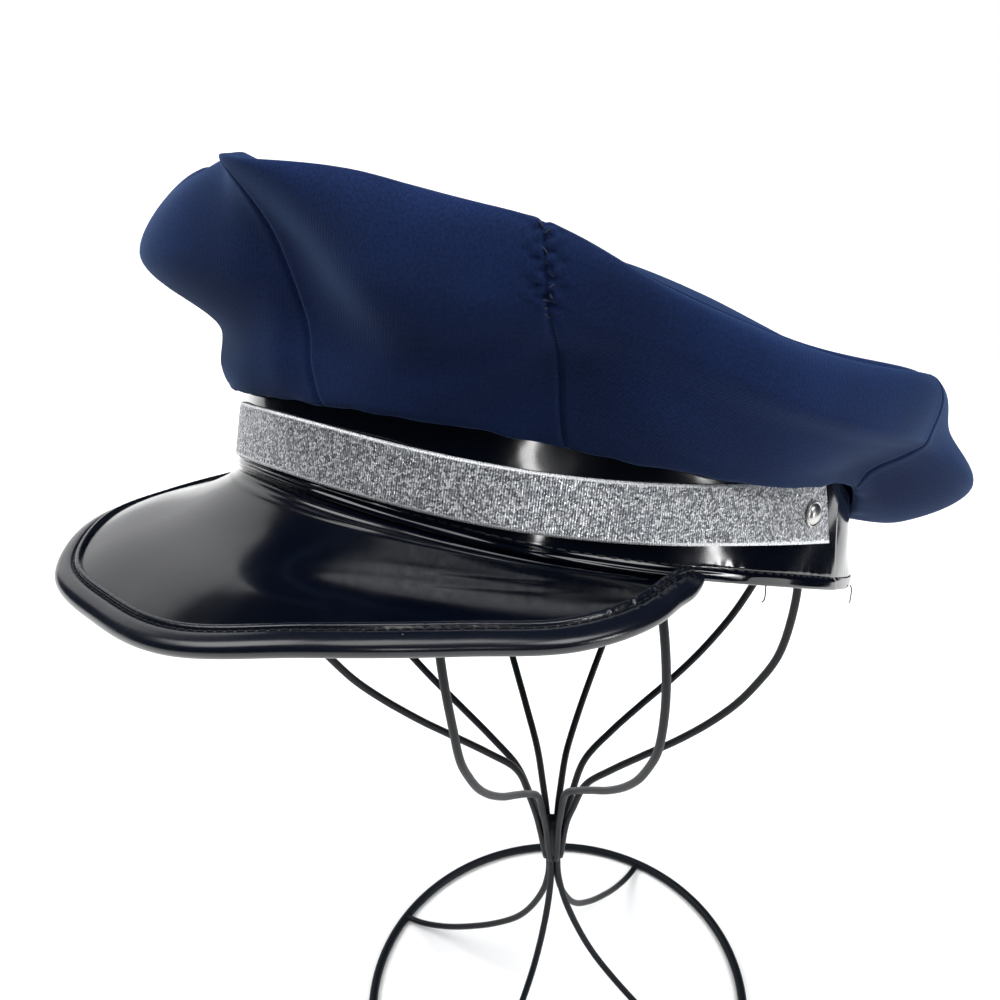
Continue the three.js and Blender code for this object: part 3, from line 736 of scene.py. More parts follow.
RIM_KNOT = 5.1  # the rim's seam lies just past the edge
# first and last knot of a stretch of the section, and its number of rows
stretches = [(0, 1, 4), (1, 2, 12), (2, 3, 12), (3, 4, 15), (4, 4.95, 18), (4.95, 5.3, 18),
             (5.3, 6, 9), (6, 7, 13), (7, 8, 11), (8, 8.9, 8)]
row_places = np.concatenate([np.linspace(a, b, n, endpoint=False) for a, b, n in stretches]
                            + [[8.9]])
heads = crown_columns()
plain_crown = crown_surface(heads, row_places)
print("crown grid:", plain_crown.shape[:2])

# %% [markdown]
# Now the sewing and the slump. A seam is a narrow groove with the cloth swelling beside
# it. Where the crown is gathered into the band it makes small waves. Soft folds run
# down from the seams, and one seam was mended by hand, so that the cloth puckers there.
# Distances are measured over the cloth, in millimetres.

# %% Measure over the cloth
FRONT_SEAM = 3
MENDED_SEAM = 44


def side_distance(points, seam):
    """Distance round the crown from a seam: angle from it times the radius."""
    radius = np.hypot(points[..., 0], points[..., 1])
    turn = (heads - seam + 180) % 360 - 180
    return np.radians(turn) * radius


def fold(along, up, start, end, width, height):
    """A soft ridge between two places on the cloth: a bell of the distance to a segment."""
    line = np.subtract(end, start).astype(float)
    share = ((along - start[0]) * line[0] + (up - start[1]) * line[1]) / (line @ line)
    share = np.clip(share, 0, 1)
    off = np.hypot(along - start[0] - share * line[0], up - start[1] - share * line[1])
    fade = np.sin(np.pi * np.clip(share, 0.02, 0.98)) ** 0.5
    return height * fade * bell(off, width)


climbed = travelled(plain_crown)
row_numbers = np.arange(len(row_places))
rim_row = np.interp(RIM_KNOT, row_places, row_numbers)
past_rim = climbed - hermite(row_numbers, climbed.T, rim_row).T
mended = side_distance(plain_crown, MENDED_SEAM)
print("cloth from band to rim, mm:", np.round(-past_rim[0].max()), "to",
      np.round(-past_rim[0].min()))

# %% Seams, gathers and folds of the crown
# waves where the cloth is gathered into the band: size, number round, start
GATHERS = [(0.5, 33, 0.4), (0.4, 52, 2.0), (0.5, 21, 1.1)]
GATHER_DEPTH = 0.30
# slow waves of the side: size in mm, number round, start, mm up the cloth for a radian
SLUMP = [(0.5, 5, 0.6, 14), (0.35, 11, -0.8, -9)]
# soft folds: the seam they start from, start and end as mm along and up, width, height
FOLDS = [(MENDED_SEAM, (-3, 34), (-38, 8), 5.0, 1.5),
         (MENDED_SEAM, (-8, 44), (-46, 20), 6.0, 1.1),
         (MENDED_SEAM, (6, 30), (44, 10), 6.0, 0.9),
         (FRONT_SEAM, (-3, 40), (-14, 6), 5.0, 0.8)]

on_side = ease(row_places, 0.7, 1.3)[:, None] * (1 - ease(past_rim, -1.5, 0.5))
around = np.radians(heads)[None, :]
relief = np.zeros(plain_crown.shape[:2])
for seam in SEAMS[:-1]:
    off = side_distance(plain_crown, seam)
    relief += on_side * (-0.9 * bell(off, 0.55) + 0.12 * bell(np.abs(off) - 2.0, 1.4))
relief += -0.7 * bell(past_rim, 0.6) + 0.15 * bell(np.abs(past_rim) - 1.8, 1.2)
gathers = sum(size * np.sin(count * around + start) for size, count, start in GATHERS)
relief += GATHER_DEPTH * gathers * bell(climbed - 3.0, 4.0)
for size, count, start, slide in SLUMP:
    relief += size * np.sin(count * around + start + climbed / slide) * on_side
# the front seam's upper end is stretched smooth
relief *= 1 - 0.9 * bell(side_distance(plain_crown, FRONT_SEAM), 10) * bell(past_rim, 8)

# stitches pull the mended stretch into small lumps
pucker = bell(mended, 4.5) * ease(climbed, 38, 44) * (1 - ease(past_rim, -4, -1))
relief += 0.8 * pucker * np.sin(climbed * 1.7 + 0.9 * mended) * np.sin(climbed * 0.6 + 1.0)
relief += 0.5 * pucker * np.sin(climbed * 2.3 - 1.2 * mended + 2.0)
for seam, start, end, width, height in FOLDS:
    relief += fold(side_distance(plain_crown, seam), climbed, start, end, width, height)
print("relief, mm:", round(relief.min(), 2), "to", round(relief.max(), 2))

# %% [markdown]
# The cloth's flat map is what a tailor would cut: across each panel the distance from
# its middle line, and up it the length from the band. The grain then runs straight up
# every panel and breaks at the seams, as on the real cap.

# %% The cloth's flat map


def panel_map(points, lengths):
    """For every corner of every face: distance from the middle of its panel and length
    up from the band; beyond the rim, plain top-view millimetres."""
    wide_heads = np.append(heads, heads[0] + 360)
    radius = np.hypot(points[..., 0], points[..., 1])
    radius = np.concatenate([radius, radius[:, :1]], axis=1)
    length = np.concatenate([lengths, lengths[:, :1]], axis=1)
    flat = np.concatenate([points, points[:, :1]], axis=1)
    panel = np.clip(np.searchsorted(SEAMS, heads, side="right") - 1, 0, len(SEAMS) - 2)
    middle = (SEAMS[panel] + SEAMS[panel + 1]) / 2
    result = []
    for row_shift, column_shift in ((0, 0), (0, 1), (1, 1), (1, 0)):
        rows = slice(row_shift, len(points) - 1 + row_shift)
        columns = slice(column_shift, len(heads) + column_shift)
        across = np.radians(wide_heads[columns] - middle) * radius[rows, columns]
        side = np.stack([across, length[rows, columns]], axis=-1)
        on_top = (row_places[:-1] >= RIM_KNOT)[:, None, None]
        result.append(np.where(on_top, flat[rows, columns, :2], side))
    return np.stack(result, axis=2).reshape(-1, 2)


cloth_map = panel_map(plain_crown, climbed)
print("flat map, mm:", np.round(cloth_map.min(axis=0)), "to", np.round(cloth_map.max(axis=0)))

# %% Build the crown
CLOTH = 1.3  # mm
crown_points = plain_crown + relief[..., None] * normals_of(plain_crown, wrap_columns=True)
rows, columns = crown_points.shape[:2]
crown_faces = grid_faces(rows, columns, wrap_columns=True)
top_middle = rows * columns
last_row = np.arange((rows - 1) * columns, rows * columns)
fan = np.stack([last_row, np.roll(last_row, -1), np.full(columns, top_middle)], axis=1)
middle_point = polar(0.0, 0.0, crown_points[-1, :, 2].mean())
all_points = np.concatenate([crown_points.reshape(-1, 3), middle_point.reshape(1, 3)])
fan_map = all_points[fan.ravel(), :2]
crown = make_piece("crown_cloth", cap_to_row(all_points), crown_faces, fan.tolist(),
                   uv=np.concatenate([cloth_map, fan_map]),
                   slot="navy_cloth", stands_for=["crown"])
crown.data.materials.append(navy_twill)
wall = crown.modifiers.new("cloth thickness", "SOLIDIFY")
wall.thickness = CLOTH * MM
wall.offset = -1.0

# %% [markdown]
# ## Building the band
# Its top edge hides under the crown's fold, so it ends just below it. The outer skin
# gets the hem, the overlap and the creases; the inner face stays plain.

# %% Where the band's top edge runs
band_angles = np.linspace(-180, 180, 640, endpoint=False)
feet = hermite(CROWN_ROWS[:, 0], CROWN_ROWS[:, 1], heads, level=True)
folds = hermite(CROWN_ROWS[:, 0], CROWN_ROWS[:, 3], heads, level=True)
feet = (feet + 180) % 360 - 180
order = np.argsort(feet)
band_top = np.interp(band_angles, feet[order], folds[order], period=360) - 0.2
print("band's top edge, mm:", round(band_top.min(), 1), "to", round(band_top.max(), 1))

# %% What stands out from the band
HEM = 3.3  # height of the folded hem, mm
FRONT_STITCHED = (68, 84)  # azimuths between which the visor's fold gives way to the hem
# folds over the visor: height, its rise per degree, size and width, mm
FRONT_FOLDS = [(0.5, 0.004, 0.45, 0.26), (1.4, -0.005, 0.42, 0.28), (2.5, 0.003, 0.38, 0.30)]
OVERLAP_STEP = 0.9
OVERLAP_LIFT = 0.8


def band_relief(angle, above):
    """How far the vinyl stands out at an azimuth and a height above the hem's edge: the
    hem or the front folds, the overlap, slow waves and fine crinkles, added up."""
    hem = 0.5 * (1 - ease(above, HEM - 0.5, HEM + 0.4)) - 0.35 * bell(above - HEM, 0.35)
    front = 1 - ease(np.abs(angle), *FRONT_STITCHED)
    folded = 0.0
    for start, slope, size, width in FRONT_FOLDS:
        line = start + slope * angle + 0.22 * np.sin(np.radians(angle * 5.1) + 7 * start)
        folded = folded + size * bell(above - line, width)
    past = (angle - OVERLAP_AT) % 360
    overlap = -OVERLAP_STEP * ease(past, 0, 0.45) * (1 - ease(past, 20, 150))
    lifted = OVERLAP_LIFT * ease(angle, OVERLAP_AT - 14, OVERLAP_AT) * (1 - ease(past, 0, 0.4))
    waves = 0.30 * np.sin(np.radians(9 * angle) + 0.12 * above)
    waves = waves + 0.22 * np.sin(np.radians(17 * angle) + 1.0 - 0.2 * above)
    crinkles = 0.05 * np.sin(np.radians(angle) * 133) * np.sin(np.radians(angle) * 17)
    crinkles = crinkles * bell(above - HEM - 1.0, 1.2)
    return (hem + crinkles) * (1 - front) + folded * front + overlap + lifted + (
        waves * ease(above, 0, 3))


print("hem stands out at the back, mm:", round(float(band_relief(180.0, 1.0)), 2))

# %% Build the band
EDGE_ROUND = 0.9  # mm, radius of the lower edge
outer_share = (np.linspace(0, 1, 60) ** 1.35)[:, None]
low = band_bottom(band_angles)
outer_z = low + (band_top - low) * outer_share
outer_r = band_radius(band_angles, outer_z) + band_relief(band_angles, outer_z - low)
inside_edge = 1 - np.clip((outer_z - low) / EDGE_ROUND, 0, 1)
outer_r = outer_r - EDGE_ROUND * (1 - np.sqrt(1 - inside_edge ** 2))
inner_z = outer_z[::-6]
inner_r = band_radius(band_angles, inner_z) - BAND_WALL
band_points = polar(band_angles, np.concatenate([outer_r, inner_r]),
                    np.concatenate([outer_z, inner_z]))
band_faces = grid_faces(*band_points.shape[:2], wrap_rows=True, wrap_columns=True)
band = make_piece("band_vinyl", cap_to_row(band_points), band_faces, slot="black_vinyl",
                  stands_for=["band"])
band.data.materials.append(band_vinyl)

# %% [markdown]
# ## The ribbon
# The ribbon lies on the band from one rivet to the other. Its section is a thin strip
# with a raised selvedge at both edges. Its ends are cut a little askew.

# %% Build the ribbon
STRAP_HALF = 7.25  # half of its width, mm
STRAP_END = 103.5
STRAP_SLANT = 1.6  # degrees that the lower corner reaches beyond the middle
SLANT_POWER = 9  # keeps the slant to the last few degrees
STRAP_THICK = 0.9
GAP = 0.35
END_START = 60  # azimuth from which the ribbon rises and widens
END_RISE = 0.8
END_WIDEN = 0.6


def near_end(angle):
    """0 along most of the ribbon, 1 at its two ends."""
    return ease(np.abs(angle), END_START, STRAP_END)


def strap_middle(angle):
    """Height of the ribbon's middle line: the band's wave, riding up at the ends."""
    return band_ripple(angle) + END_RISE * near_end(angle)


def strap_points(columns=560, rows=17):
    """Rows run up the outer face and down the inner one; columns run along the ribbon.
    Radius is the band's, plus a gap, the thickness, the selvedge and a little slack."""
    along = np.linspace(-1, 1, columns)[None, :]
    up = np.linspace(-1, 1, rows)
    down = up[::-2]
    v = np.concatenate([up, down])[:, None]
    outer = np.concatenate([np.ones(rows), np.zeros(len(down))])[:, None]
    angle = along * STRAP_END - STRAP_SLANT * v * along ** SLANT_POWER
    height = strap_middle(angle) + (STRAP_HALF + END_WIDEN * near_end(angle)) * v
    selvedge = 0.22 * ease(np.abs(v), 0.90, 0.94) - 0.25 * ease(np.abs(v), 0.97, 1.0)
    slack = 0.12 * (1 + np.sin(np.radians(14 * angle) + 2 * v))
    radius = band_radius(angle, height) + GAP + outer * (STRAP_THICK + selvedge) + slack
    arc = np.radians(angle) * 0.5 * (BAND_HALF_LENGTH + BAND_HALF_WIDTH)
    return polar(angle, radius, height), np.stack([arc, STRAP_HALF * v + 0 * arc], axis=-1)


ribbon_points, ribbon_map = strap_points()
ribbon_faces, ribbon_ends = strip_faces(ribbon_points)
end_map = ribbon_map.reshape(-1, 2)[np.concatenate(ribbon_ends)]
ribbon = make_piece("ribbon_strap", cap_to_row(ribbon_points), ribbon_faces, ribbon_ends,
                    uv=np.concatenate([point_uv(ribbon_faces, ribbon_map), end_map]),
                    slot="silver_ribbon", stands_for=["strap"])
ribbon.data.materials.append(metallic_ribbon("silver_metallic_yarn_ribbon", STRAP_HALF))

# %% [markdown]
# ## Rivets
# Each rivet is a small dished cap: a rolled rim, a dip inside it and a low dome in the
# middle. It is a profile turned round the direction that points out of the band.

# %% Build the rivets
RIVET_AT = 98.0
# radius and height of the cap's profile, mm
RIVET_ROWS = np.array([[3.3, 0.0], [3.55, 0.25], [3.5, 0.6], [3.25, 0.75], [2.95, 0.62],
                       [2.8, 0.5], [2.65, 0.75], [2.3, 1.1], [1.7, 1.4], [0.9, 1.6],
                       [0.02, 1.66]])


def rivet_points(angle, columns=48):
    """Profile radius runs along the band and up it, profile height out of it."""
    middle_height = strap_middle(angle)
    out = polar(angle, 1.0, 0.0)
    along = polar(angle + 90, 1.0, 0.0)
    start = polar(angle, band_radius(angle, middle_height) + GAP + STRAP_THICK + 0.2,
                  middle_height)
    a = np.linspace(0, 2 * np.pi, columns, endpoint=False)[None, :, None]
    spread = along * np.cos(a) + np.array([0, 0, 1.0]) * np.sin(a)
    return start + RIVET_ROWS[:, None, :1] * spread + RIVET_ROWS[:, None, 1:] * out


for side, angle in (("left", RIVET_AT), ("right", -RIVET_AT)):
    points = rivet_points(angle)
    faces, lids = tube_faces(*points.shape[:2])
    rivet = make_piece(f"rivet_cap_{side}", cap_to_row(points), faces, lids,
                       slot="rivet_metal", stands_for=[f"rivet_{side}"])
    rivet.data.materials.append(nickel)

# %% [markdown]
# ## The visor
# The visor is a stiff sheet that springs from the band's lower edge and curves down and
# forward. Its outline is a table of how far it reaches out and drops. Between band and
# rim the sheet falls along an S. The sheet is closed: upper face, rim, lower face.

# %% The visor's outline and section
# azimuth, then how far the outline reaches out from the band and how far it drops, mm
VISOR_ROWS = np.array([
    [0, 45.1, 43.9], [14, 46.3, 42.4], [28, 41.0, 35.7], [42, 32.0, 31.4],
    [54, 27.0, 28.1], [64, 17.0, 23.0], [68, 10.5, 20.8], [71.5, 6.5, 19.0],
    [74, 3.2, 17.6], [78, -3.5, 16.0]])
SHEET_END = 73.0
RIM_END = 77.0
RIM_INSET = 1.9
VISOR_THICK = 1.8
VISOR_CURL = 0.30  # how strongly the sheet's fall is an S


def visor_value(column, angle):
    """Reach or drop at an azimuth; the table is mirrored about the middle."""
    knots = np.concatenate([[-VISOR_ROWS[1, 0]], VISOR_ROWS[:, 0]])
    values = np.concatenate([[VISOR_ROWS[1, column]], VISOR_ROWS[:, column]])
    return hermite(knots, values, np.abs(angle))


def bead_middle(angle):
    """Middle of the rolled rim at an azimuth."""
    out = band_radius(angle) + visor_value(1, angle) - RIM_INSET
    return polar(angle, out, -visor_value(2, angle) + 0.8 * RIM_INSET)


def visor_sheet(angle, share):
    """Upper face of the sheet: straight out from the band's foot to the rim, falling
    as share + curl sin(2 pi share) / 2 pi."""
    foot_height = band_bottom(angle) - GAP
    foot_radius = band_radius(angle, foot_height) - 0.6
    rim = bead_middle(angle)
    rim_radius = np.hypot(rim[..., 0], rim[..., 1])
    fall = share + VISOR_CURL * np.sin(2 * np.pi * share) / (2 * np.pi)
    radius = foot_radius + (rim_radius - foot_radius) * share
    return polar(angle, radius, foot_height + (rim[..., 2] + 0.9 - foot_height) * fall)


print("visor's reach and drop in front, mm:", visor_value(1, 0.0), visor_value(2, 0.0))

# %% Build the visor
# two shallow dents on the wearer's left: start and end as mm along and down, width, depth
DENTS = [((52, 14), (100, 10), 1.8, -0.12), ((44, 21), (104, 17), 2.0, -0.10)]
visor_angles = np.linspace(-SHEET_END, SHEET_END, 260)[None, :]
shares = 0.985 * np.linspace(0, 1, 64)[:, None] ** 1.4
upper = visor_sheet(visor_angles, shares)
sheet_normal = normals_of(upper)
sheet_normal *= np.sign(sheet_normal[..., 2:].mean())
lengths = np.radians(visor_angles) * 110
down = shares * 46
root_folds = (0.35 * bell(down - 1.3 - 0.4 * np.sin(lengths / 19), 0.5)
              + 0.30 * bell(down - 3.2 - 0.6 * np.sin(lengths / 27 + 1), 0.7))
dents = sum(fold(lengths, down, *dent) for dent in DENTS)
dents = dents + root_folds * (1 - ease(np.abs(visor_angles), 60, 70))
upper = upper + dents[..., None] * sheet_normal
lower = (upper - VISOR_THICK * sheet_normal)[::-3]
flange_heights = band_bottom(visor_angles) + np.array([[3.0], [2.0], [0.8]])
flange = polar(visor_angles, band_radius(visor_angles) - 1.2, flange_heights)
visor_points = np.concatenate([flange, upper, lower])
visor_faces, visor_ends = strip_faces(visor_points)
visor = make_piece("visor_sheet", cap_to_row(visor_points), visor_faces, visor_ends,
                   slot="black_vinyl", stands_for=["visor"])
visor.data.materials.append(visor_vinyl)

# %% [markdown]
# ## The rolled rim
# A strip of vinyl is folded round the visor's edge and sewn down a few millimetres in.
# The section is a rounded roll with a flap on the upper and lower face, and a groove
# where the stitches pull it tight. It is carried along the rim, turned at each point to
# look into the visor. Where the rim bends, the flap crinkles a little.

# %% The rim's section and how it is carried
# inwards from the roll's middle and up from the sheet, in mm
RIM_SECTION = np.array([
    [5.9, 0.75], [5.8, 1.25], [5.2, 1.5], [4.7, 1.45], [4.35, 1.1], [4.05, 0.9], [3.7, 1.15],
    [3.2, 1.6], [2.4, 1.95], [1.2, 2.15], [0.0, 2.2], [-1.1, 1.9], [-1.9, 1.15], [-2.2, 0.0],
    [-1.9, -1.15], [-1.1, -1.9], [0.2, -2.2], [1.6, -2.1], [3.0, -1.75], [4.6, -1.5],
    [5.8, -1.3], [5.9, -0.8]])
GROOVE_AT = 4.05
HELD_FROM = 69  # azimuth from which the rim keeps its directions
NEARBY = 0.2  # degrees


def rim_frames(angle):
    """Middle, direction into the sheet and direction off the sheet, for each azimuth.
    Near its ends the rim keeps the directions that it has a little before them."""
    middle = bead_middle(angle)
    forward = unit(bead_middle(angle + NEARBY) - bead_middle(angle - NEARBY))
    held = np.clip(angle, -HELD_FROM, HELD_FROM)
    inward = visor_sheet(held, 0.85) - bead_middle(held)
    turn = np.radians(angle - held)
    inward = np.stack([inward[:, 0] * np.cos(turn) - inward[:, 1] * np.sin(turn),
                       inward[:, 0] * np.sin(turn) + inward[:, 1] * np.cos(turn),
                       inward[:, 2]], axis=-1)
    inward = unit(inward - np.einsum("ij,ij->i", inward, forward)[:, None] * forward)
    off = np.cross(inward, forward)
    off *= np.sign(off[:, 2:])
    return middle, inward, off


rim_angles = np.linspace(-RIM_END, RIM_END, 560)
middle, inward, off = rim_frames(rim_angles)
travel = travelled(middle)
print("rim length, mm:", round(travel[-1]))

# %% Build the rolled rim
closed = np.concatenate([RIM_SECTION, RIM_SECTION[:1]])
section = hermite(np.arange(len(closed)), closed.T, np.linspace(0, len(closed) - 1, 67)[:-1])
flap = ease(section[0], 1.5, 4.5) * (section[1] > 0)
# crinkles are faint in front and full where the rim bends back on the wearer's left
crinkle = 0.16 * np.sin(travel * 1.9) * np.sin(travel * 0.37 + 1.0)
crinkle = (crinkle + 0.10 * np.sin(travel * 3.1 + 0.7)) * (0.15 + ease(rim_angles, 54, 64))
taper = 1 - 0.55 * ease(np.abs(rim_angles), 70, RIM_END)
lift = (section[1][:, None] + flap[:, None] * crinkle[None, :]) * taper
rim_points = middle + (section[0][:, None] * taper)[..., None] * inward + lift[..., None] * off
rim_faces, rim_ends = strip_faces(rim_points)
rim = make_piece("visor_rim_roll", cap_to_row(rim_points), rim_faces, rim_ends,
                 slot="binding_vinyl", stands_for=["visor_binding"])
rim.data.materials.append(binding_vinyl)

# %% [markdown]
# ## Stitches
# A stitch is a short, plump piece of thread that dives into the material at both ends.
# Each is a small tube of five rings. They are spaced along the groove of the rim and
# along the hem of the band, a little shorter than their spacing.

# %% How a row of stitches is made
# places along a stitch, and its thickness there as a share
STITCH_PLACES = np.array([0, 0.15, 0.5, 0.85, 1.0])
STITCH_SHARES = np.array([0.35, 0.9, 1.0, 0.9, 0.35])


def stitches(start, end, off_surface, thick):
    """One bent tube per stitch, from start to end; its middle stands off the surface by
    half its thickness, and its ends dip in by half."""
    t = STITCH_PLACES[:, None, None]
    bow = np.sin(np.pi * t) - 0.5
    path = start + (end - start) * t + bow * thick * off_surface
    side = np.cross(unit(end - start), off_surface)
    width = STITCH_SHARES * thick
    return [tube(path[:, k], width, np.broadcast_to(side[k], path[:, k].shape),
                 np.broadcast_to(off_surface[k], path[:, k].shape), rings=6)
            for k in range(len(start))]


def stitch_row(name, line, off_surface, spacing, thick, material, gap_share=0.22):
    """Stitches along a line of points, with a gap between neighbours."""
    run = travelled(line)
    count = int(run[-1] / spacing)
    begin = (np.arange(count) + gap_share / 2) * spacing
    finish = begin + spacing * (1 - gap_share)

    def at(places, values):
        """Rows of values at places along the line, each column by straight steps."""
        return np.stack([np.interp(places, run, values[:, k]) for k in range(3)], axis=1)

    start, end, out = at(begin, line), at(finish, line), unit(at(begin, off_surface))
    tubes = [cap_to_row(points) for points in stitches(start, end, out, thick)]
    piece = tube_piece(name, tubes)
    piece.data.materials.append(material)


print("faces of a stitch:", 6 * (len(STITCH_PLACES) - 1) + 2)

# %% Rows of stitches
RIM_STITCH = (2.6, 0.2)  # spacing and thickness, mm
HEM_STITCH = (3.2, 0.24)
UNSEWN = 24  # points of the rim at each end that have no stitches
GROOVE_DEPTH = 1.0  # height of the groove's floor over the bead's middle, mm
groove = middle + GROOVE_AT * inward + GROOVE_DEPTH * off
stitch_row("rim_stitches", groove[UNSEWN:-UNSEWN], off[UNSEWN:-UNSEWN], *RIM_STITCH,
           black_thread)

hem_angles = np.linspace(-179, 179, 900)
hem_z = band_bottom(hem_angles) + HEM
hem_r = band_radius(hem_angles, hem_z) + band_relief(hem_angles, HEM)
hem_line = polar(hem_angles, hem_r, hem_z)
stitch_row("hem_stitches", hem_line, polar(hem_angles, 1.0, 0.0), *HEM_STITCH, black_thread)

# %% [markdown]
# ## Hand mending and loose ends
# The seam above the wearer's left temple was closed by hand: short threads cross it at
# odd angles. Two thread ends hang from the hem. The draws are seeded, so that every run
# makes the same ones.

# %% Mending threads
draw = np.random.default_rng(44)
MENDS = 16
MENDED_FROM = 40  # mm up the cloth
MEND_SPACING = 1.35
MEND_THREAD = 0.26
NEAR_SEAM = 12  # mm to each side where a thread may end
crown_normals = normals_of(crown_points, wrap_columns=True)


def cloth_at(offset, length):
    """Nearest grid point of the crown to a distance from the mended seam and a length
    up the cloth, with the normal there."""
    far = 1e3 * (np.abs(mended) > NEAR_SEAM)
    nearest = np.argmin(np.hypot(mended - offset, climbed - length) + far)
    return crown_points.reshape(-1, 3)[nearest], crown_normals.reshape(-1, 3)[nearest]


starts, ends, outs = [], [], []
for k in range(MENDS):
    place = MENDED_FROM + MEND_SPACING * k + draw.uniform(-0.4, 0.4)
    shift = draw.uniform(-1.2, 1.2)
    reach = draw.uniform(0.5, 0.9)
    first, normal = cloth_at(shift - reach, place + draw.uniform(-0.9, 0.9))
    second, _ = cloth_at(shift + reach, place + draw.uniform(-0.9, 0.9))
    starts.append(first)
    ends.append(second)
    outs.append(normal)
threads = stitches(np.array(starts), np.array(ends), np.array(outs), MEND_THREAD)
mending = tube_piece("mending_threads", [cap_to_row(points) for points in threads])
mending.data.materials.append(navy_thread)

# %% Loose ends
LOOSE_THREAD = 0.18  # radius, mm


def loose_end(angle, turns):
    """A thread that hangs from the hem: a short cubic curve through a few offsets along
    the band, out of it and down, in mm."""
    offsets = np.array(turns, dtype=float)
    places = np.linspace(0, len(offsets) - 1, 24)
    along, out, up = hermite(np.arange(len(offsets)), offsets.T, places)[..., None]
    low_edge = band_bottom(angle) + 0.4
    path = polar(angle, band_radius(angle, low_edge), low_edge) + up * np.array([0, 0, 1.0])
    path = path + along * polar(angle + 90, 1.0, 0.0) + out * polar(angle, 1.0, 0.0)
    forward = unit(np.gradient(path, axis=0))
    side = unit(np.cross(forward, polar(angle, 1.0, 0.3)))
    return cap_to_row(tube(path, LOOSE_THREAD, side, np.cross(forward, side), rings=8))


loose = tube_piece("loose_thread_ends", [
    loose_end(88.0, [(0, 0, 0.8), (0.1, 0.3, -1.5), (0.2, 0.3, -3.6), (-0.7, 0.4, -4.4)]),
    loose_end(124.0, [(0, 0, 0.8), (0.8, 0.5, -0.6), (1.4, 0.6, -2.6), (1.0, 0.6, -4.6)])])
loose.data.materials.append(navy_thread)

# %% [markdown]
# ## Floor, light and camera
# The real cap was photographed on white, from close by and above. A broad ceiling light
# whitens the floor, and soft boxes stand at the front left and the right back. Glossy
# vinyl shows what is around it: a dim wall gives the visor its grey sheen, two narrow
# strips give the band its upright highlights, and the dim room keeps the rest black.

# %% Floor
FLOOR_LOW = (-1.3, -1.1)  # metres
FLOOR_HIGH = (1.1, 0.62)
(x0, y0), (x1, y1) = FLOOR_LOW, FLOOR_HIGH
floor_mesh = bpy.data.meshes.new("studio_floor")
floor_mesh.from_pydata([(x0, y0, 0), (x1, y0, 0), (x1, y1, 0), (x0, y1, 0)], [],
                       [(0, 1, 2, 3)])
floor = bpy.data.objects.new("studio_floor", floor_mesh)
bpy.context.scene.collection.objects.link(floor)
floor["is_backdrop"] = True
# matt white paper, which throws light back up under the cap
paper, paper_tree, paper_shader = new_material("white_paper_floor")
fill(paper_tree, paper_shader, {"Base Color": linear("#fafafa"), "Roughness": 0.9})
floor_mesh.materials.append(paper)
print("floor, m:", x1 - x0, "by", y1 - y0)

# %% Lights


def soft_box(name, azimuth, elevation, distance, size, radiance, aim, mirrored=True):
    """A rectangular light seen from the aim point at an azimuth and elevation. Its power
    in watts is pi times its area times its radiance. Unless mirrored, it lights things
    but isn't seen in gloss."""
    data = bpy.data.lights.new(name, "AREA")
    data.shape = "RECTANGLE"
    data.size, data.size_y = size
    data.energy = math.pi * size[0] * size[1] * radiance
    lamp = bpy.data.objects.new(name, data)
    bpy.context.scene.collection.objects.link(lamp)
    e = math.radians(elevation)
    towards = polar(azimuth, math.cos(e), math.sin(e))
    turn = Matrix.Identity(3)
    turn.col[2] = towards
    turn.col[0] = np.cross((0, 0, 1), towards) / math.cos(e) if elevation < 90 else (1, 0, 0)
    turn.col[1] = np.cross(towards, turn.col[0])
    lamp.matrix_world = Matrix.Translation(aim + distance * towards) @ turn.to_4x4()
    lamp.visible_glossy = mirrored


cap_middle = np.array([0.01, 0.0, 0.30])
band_front = cap_to_row(polar(62.0, 92.0, 9.0))
band_left = cap_to_row(polar(78.0, 92.0, -10.0))
# azimuth and elevation in degrees, distance and size in metres, radiance, aim
SOFT_BOXES = {
    "overhead": (0, 88, 2.1, (1.2, 1.2), 4.0, cap_middle),
    "front_left": (-45, 50, 2.2, (1.3, 1.3), 5.0, cap_middle),
    "right_back": (120, 50, 2.0, (1.0, 1.0), 5.8, cap_middle),
    "left_wall": (-92, 5, 3.0, (1.5, 2.0), 0.9, cap_middle),
    "strip_front": (60, 24, 1.5, (0.09, 0.26), 20.0, band_front),
    "strip_side": (116, 2, 1.2, (0.1, 0.36), 24.0, band_left)}
soft_box("ceiling", 0, 90, 3.7, (7.0, 7.0), 1.6, cap_middle, mirrored=False)
for name, facts in SOFT_BOXES.items():
    soft_box(name, *facts)

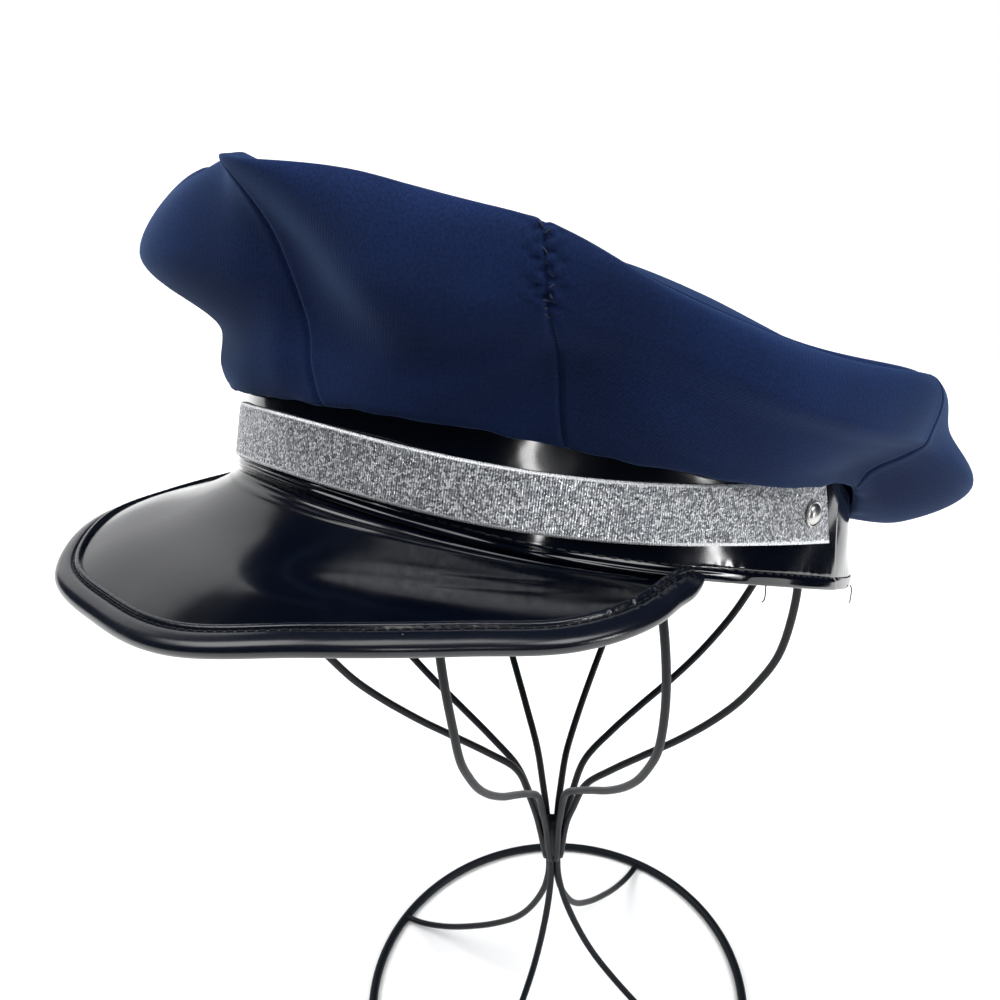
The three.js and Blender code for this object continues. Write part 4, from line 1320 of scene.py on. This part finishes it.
# %% Room
world = bpy.context.scene.world or bpy.data.worlds.new("studio")
bpy.context.scene.world = world
world.use_nodes = True
room = world.node_tree
background = room.nodes["Background"]
seen = add_node(room, "LightPath").outputs["Is Camera Ray"]
shade = add_node(room, "Mix", BLEND, {SHARE: seen, FIRST: linear("#20252f"),
                                      SECOND: linear("#ffffff")})
fill(room, background, {"Color": shade.outputs[MIXED]})
bpy.context.scene.view_settings.view_transform = "Standard"
print("room colour:", [round(c, 4) for c in linear("#20252f")[:3]])

# %% [markdown]
# The camera's place was worked out from the base ring, which the photograph shows as an
# ellipse: that gives its height, its tilt and its distance. A lens of 43 mm on a 36 mm
# sensor has the photograph's angle of view.

# %% Camera
CAMERA_FROM_AXIS = np.array([0.24935, -0.17364, 0.46257])  # metres
LENS = 43.2  # mm
HEADING = math.radians(57.7)
DOWN = math.radians(34.17)
ROLL = math.radians(-2.853)

camera_data = bpy.data.cameras.new("camera")
camera_data.lens = LENS
camera_data.sensor_width = 36.0
camera_data.clip_start = 0.01
camera = bpy.data.objects.new("camera", camera_data)
bpy.context.scene.collection.objects.link(camera)
level_right = np.array([math.cos(HEADING), math.sin(HEADING), 0.0])
ahead = np.array([-math.sin(HEADING) * math.cos(DOWN), math.cos(HEADING) * math.cos(DOWN),
                  -math.sin(DOWN)])
level_up = np.cross(level_right, ahead)
right = math.cos(ROLL) * level_right + math.sin(ROLL) * level_up
up = -math.sin(ROLL) * level_right + math.cos(ROLL) * level_up
pose = np.eye(4)
pose[:3, 0], pose[:3, 1], pose[:3, 2] = right, up, -ahead
pose[:3, 3] = CAMERA_FROM_AXIS + stand_axis
camera.matrix_world = Matrix(pose.tolist())
bpy.context.scene.camera = camera
print("camera at, mm:", np.round(1000 * pose[:3, 3], 1))

# %% [markdown]
# ## Measure and finish
# Both boxes are printed, the CAD model's and the dressed object's, in mm.

# %% Sizes
boxes = {"cad": cad_box, "visual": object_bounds()}
sizes = {name: [[float(v) for v in corner] for corner in box] for name, box in boxes.items()}
for name, (lowest, highest) in sizes.items():
    print(name, [round(1000 * (b - a), 1) for a, b in zip(lowest, highest)], "mm")
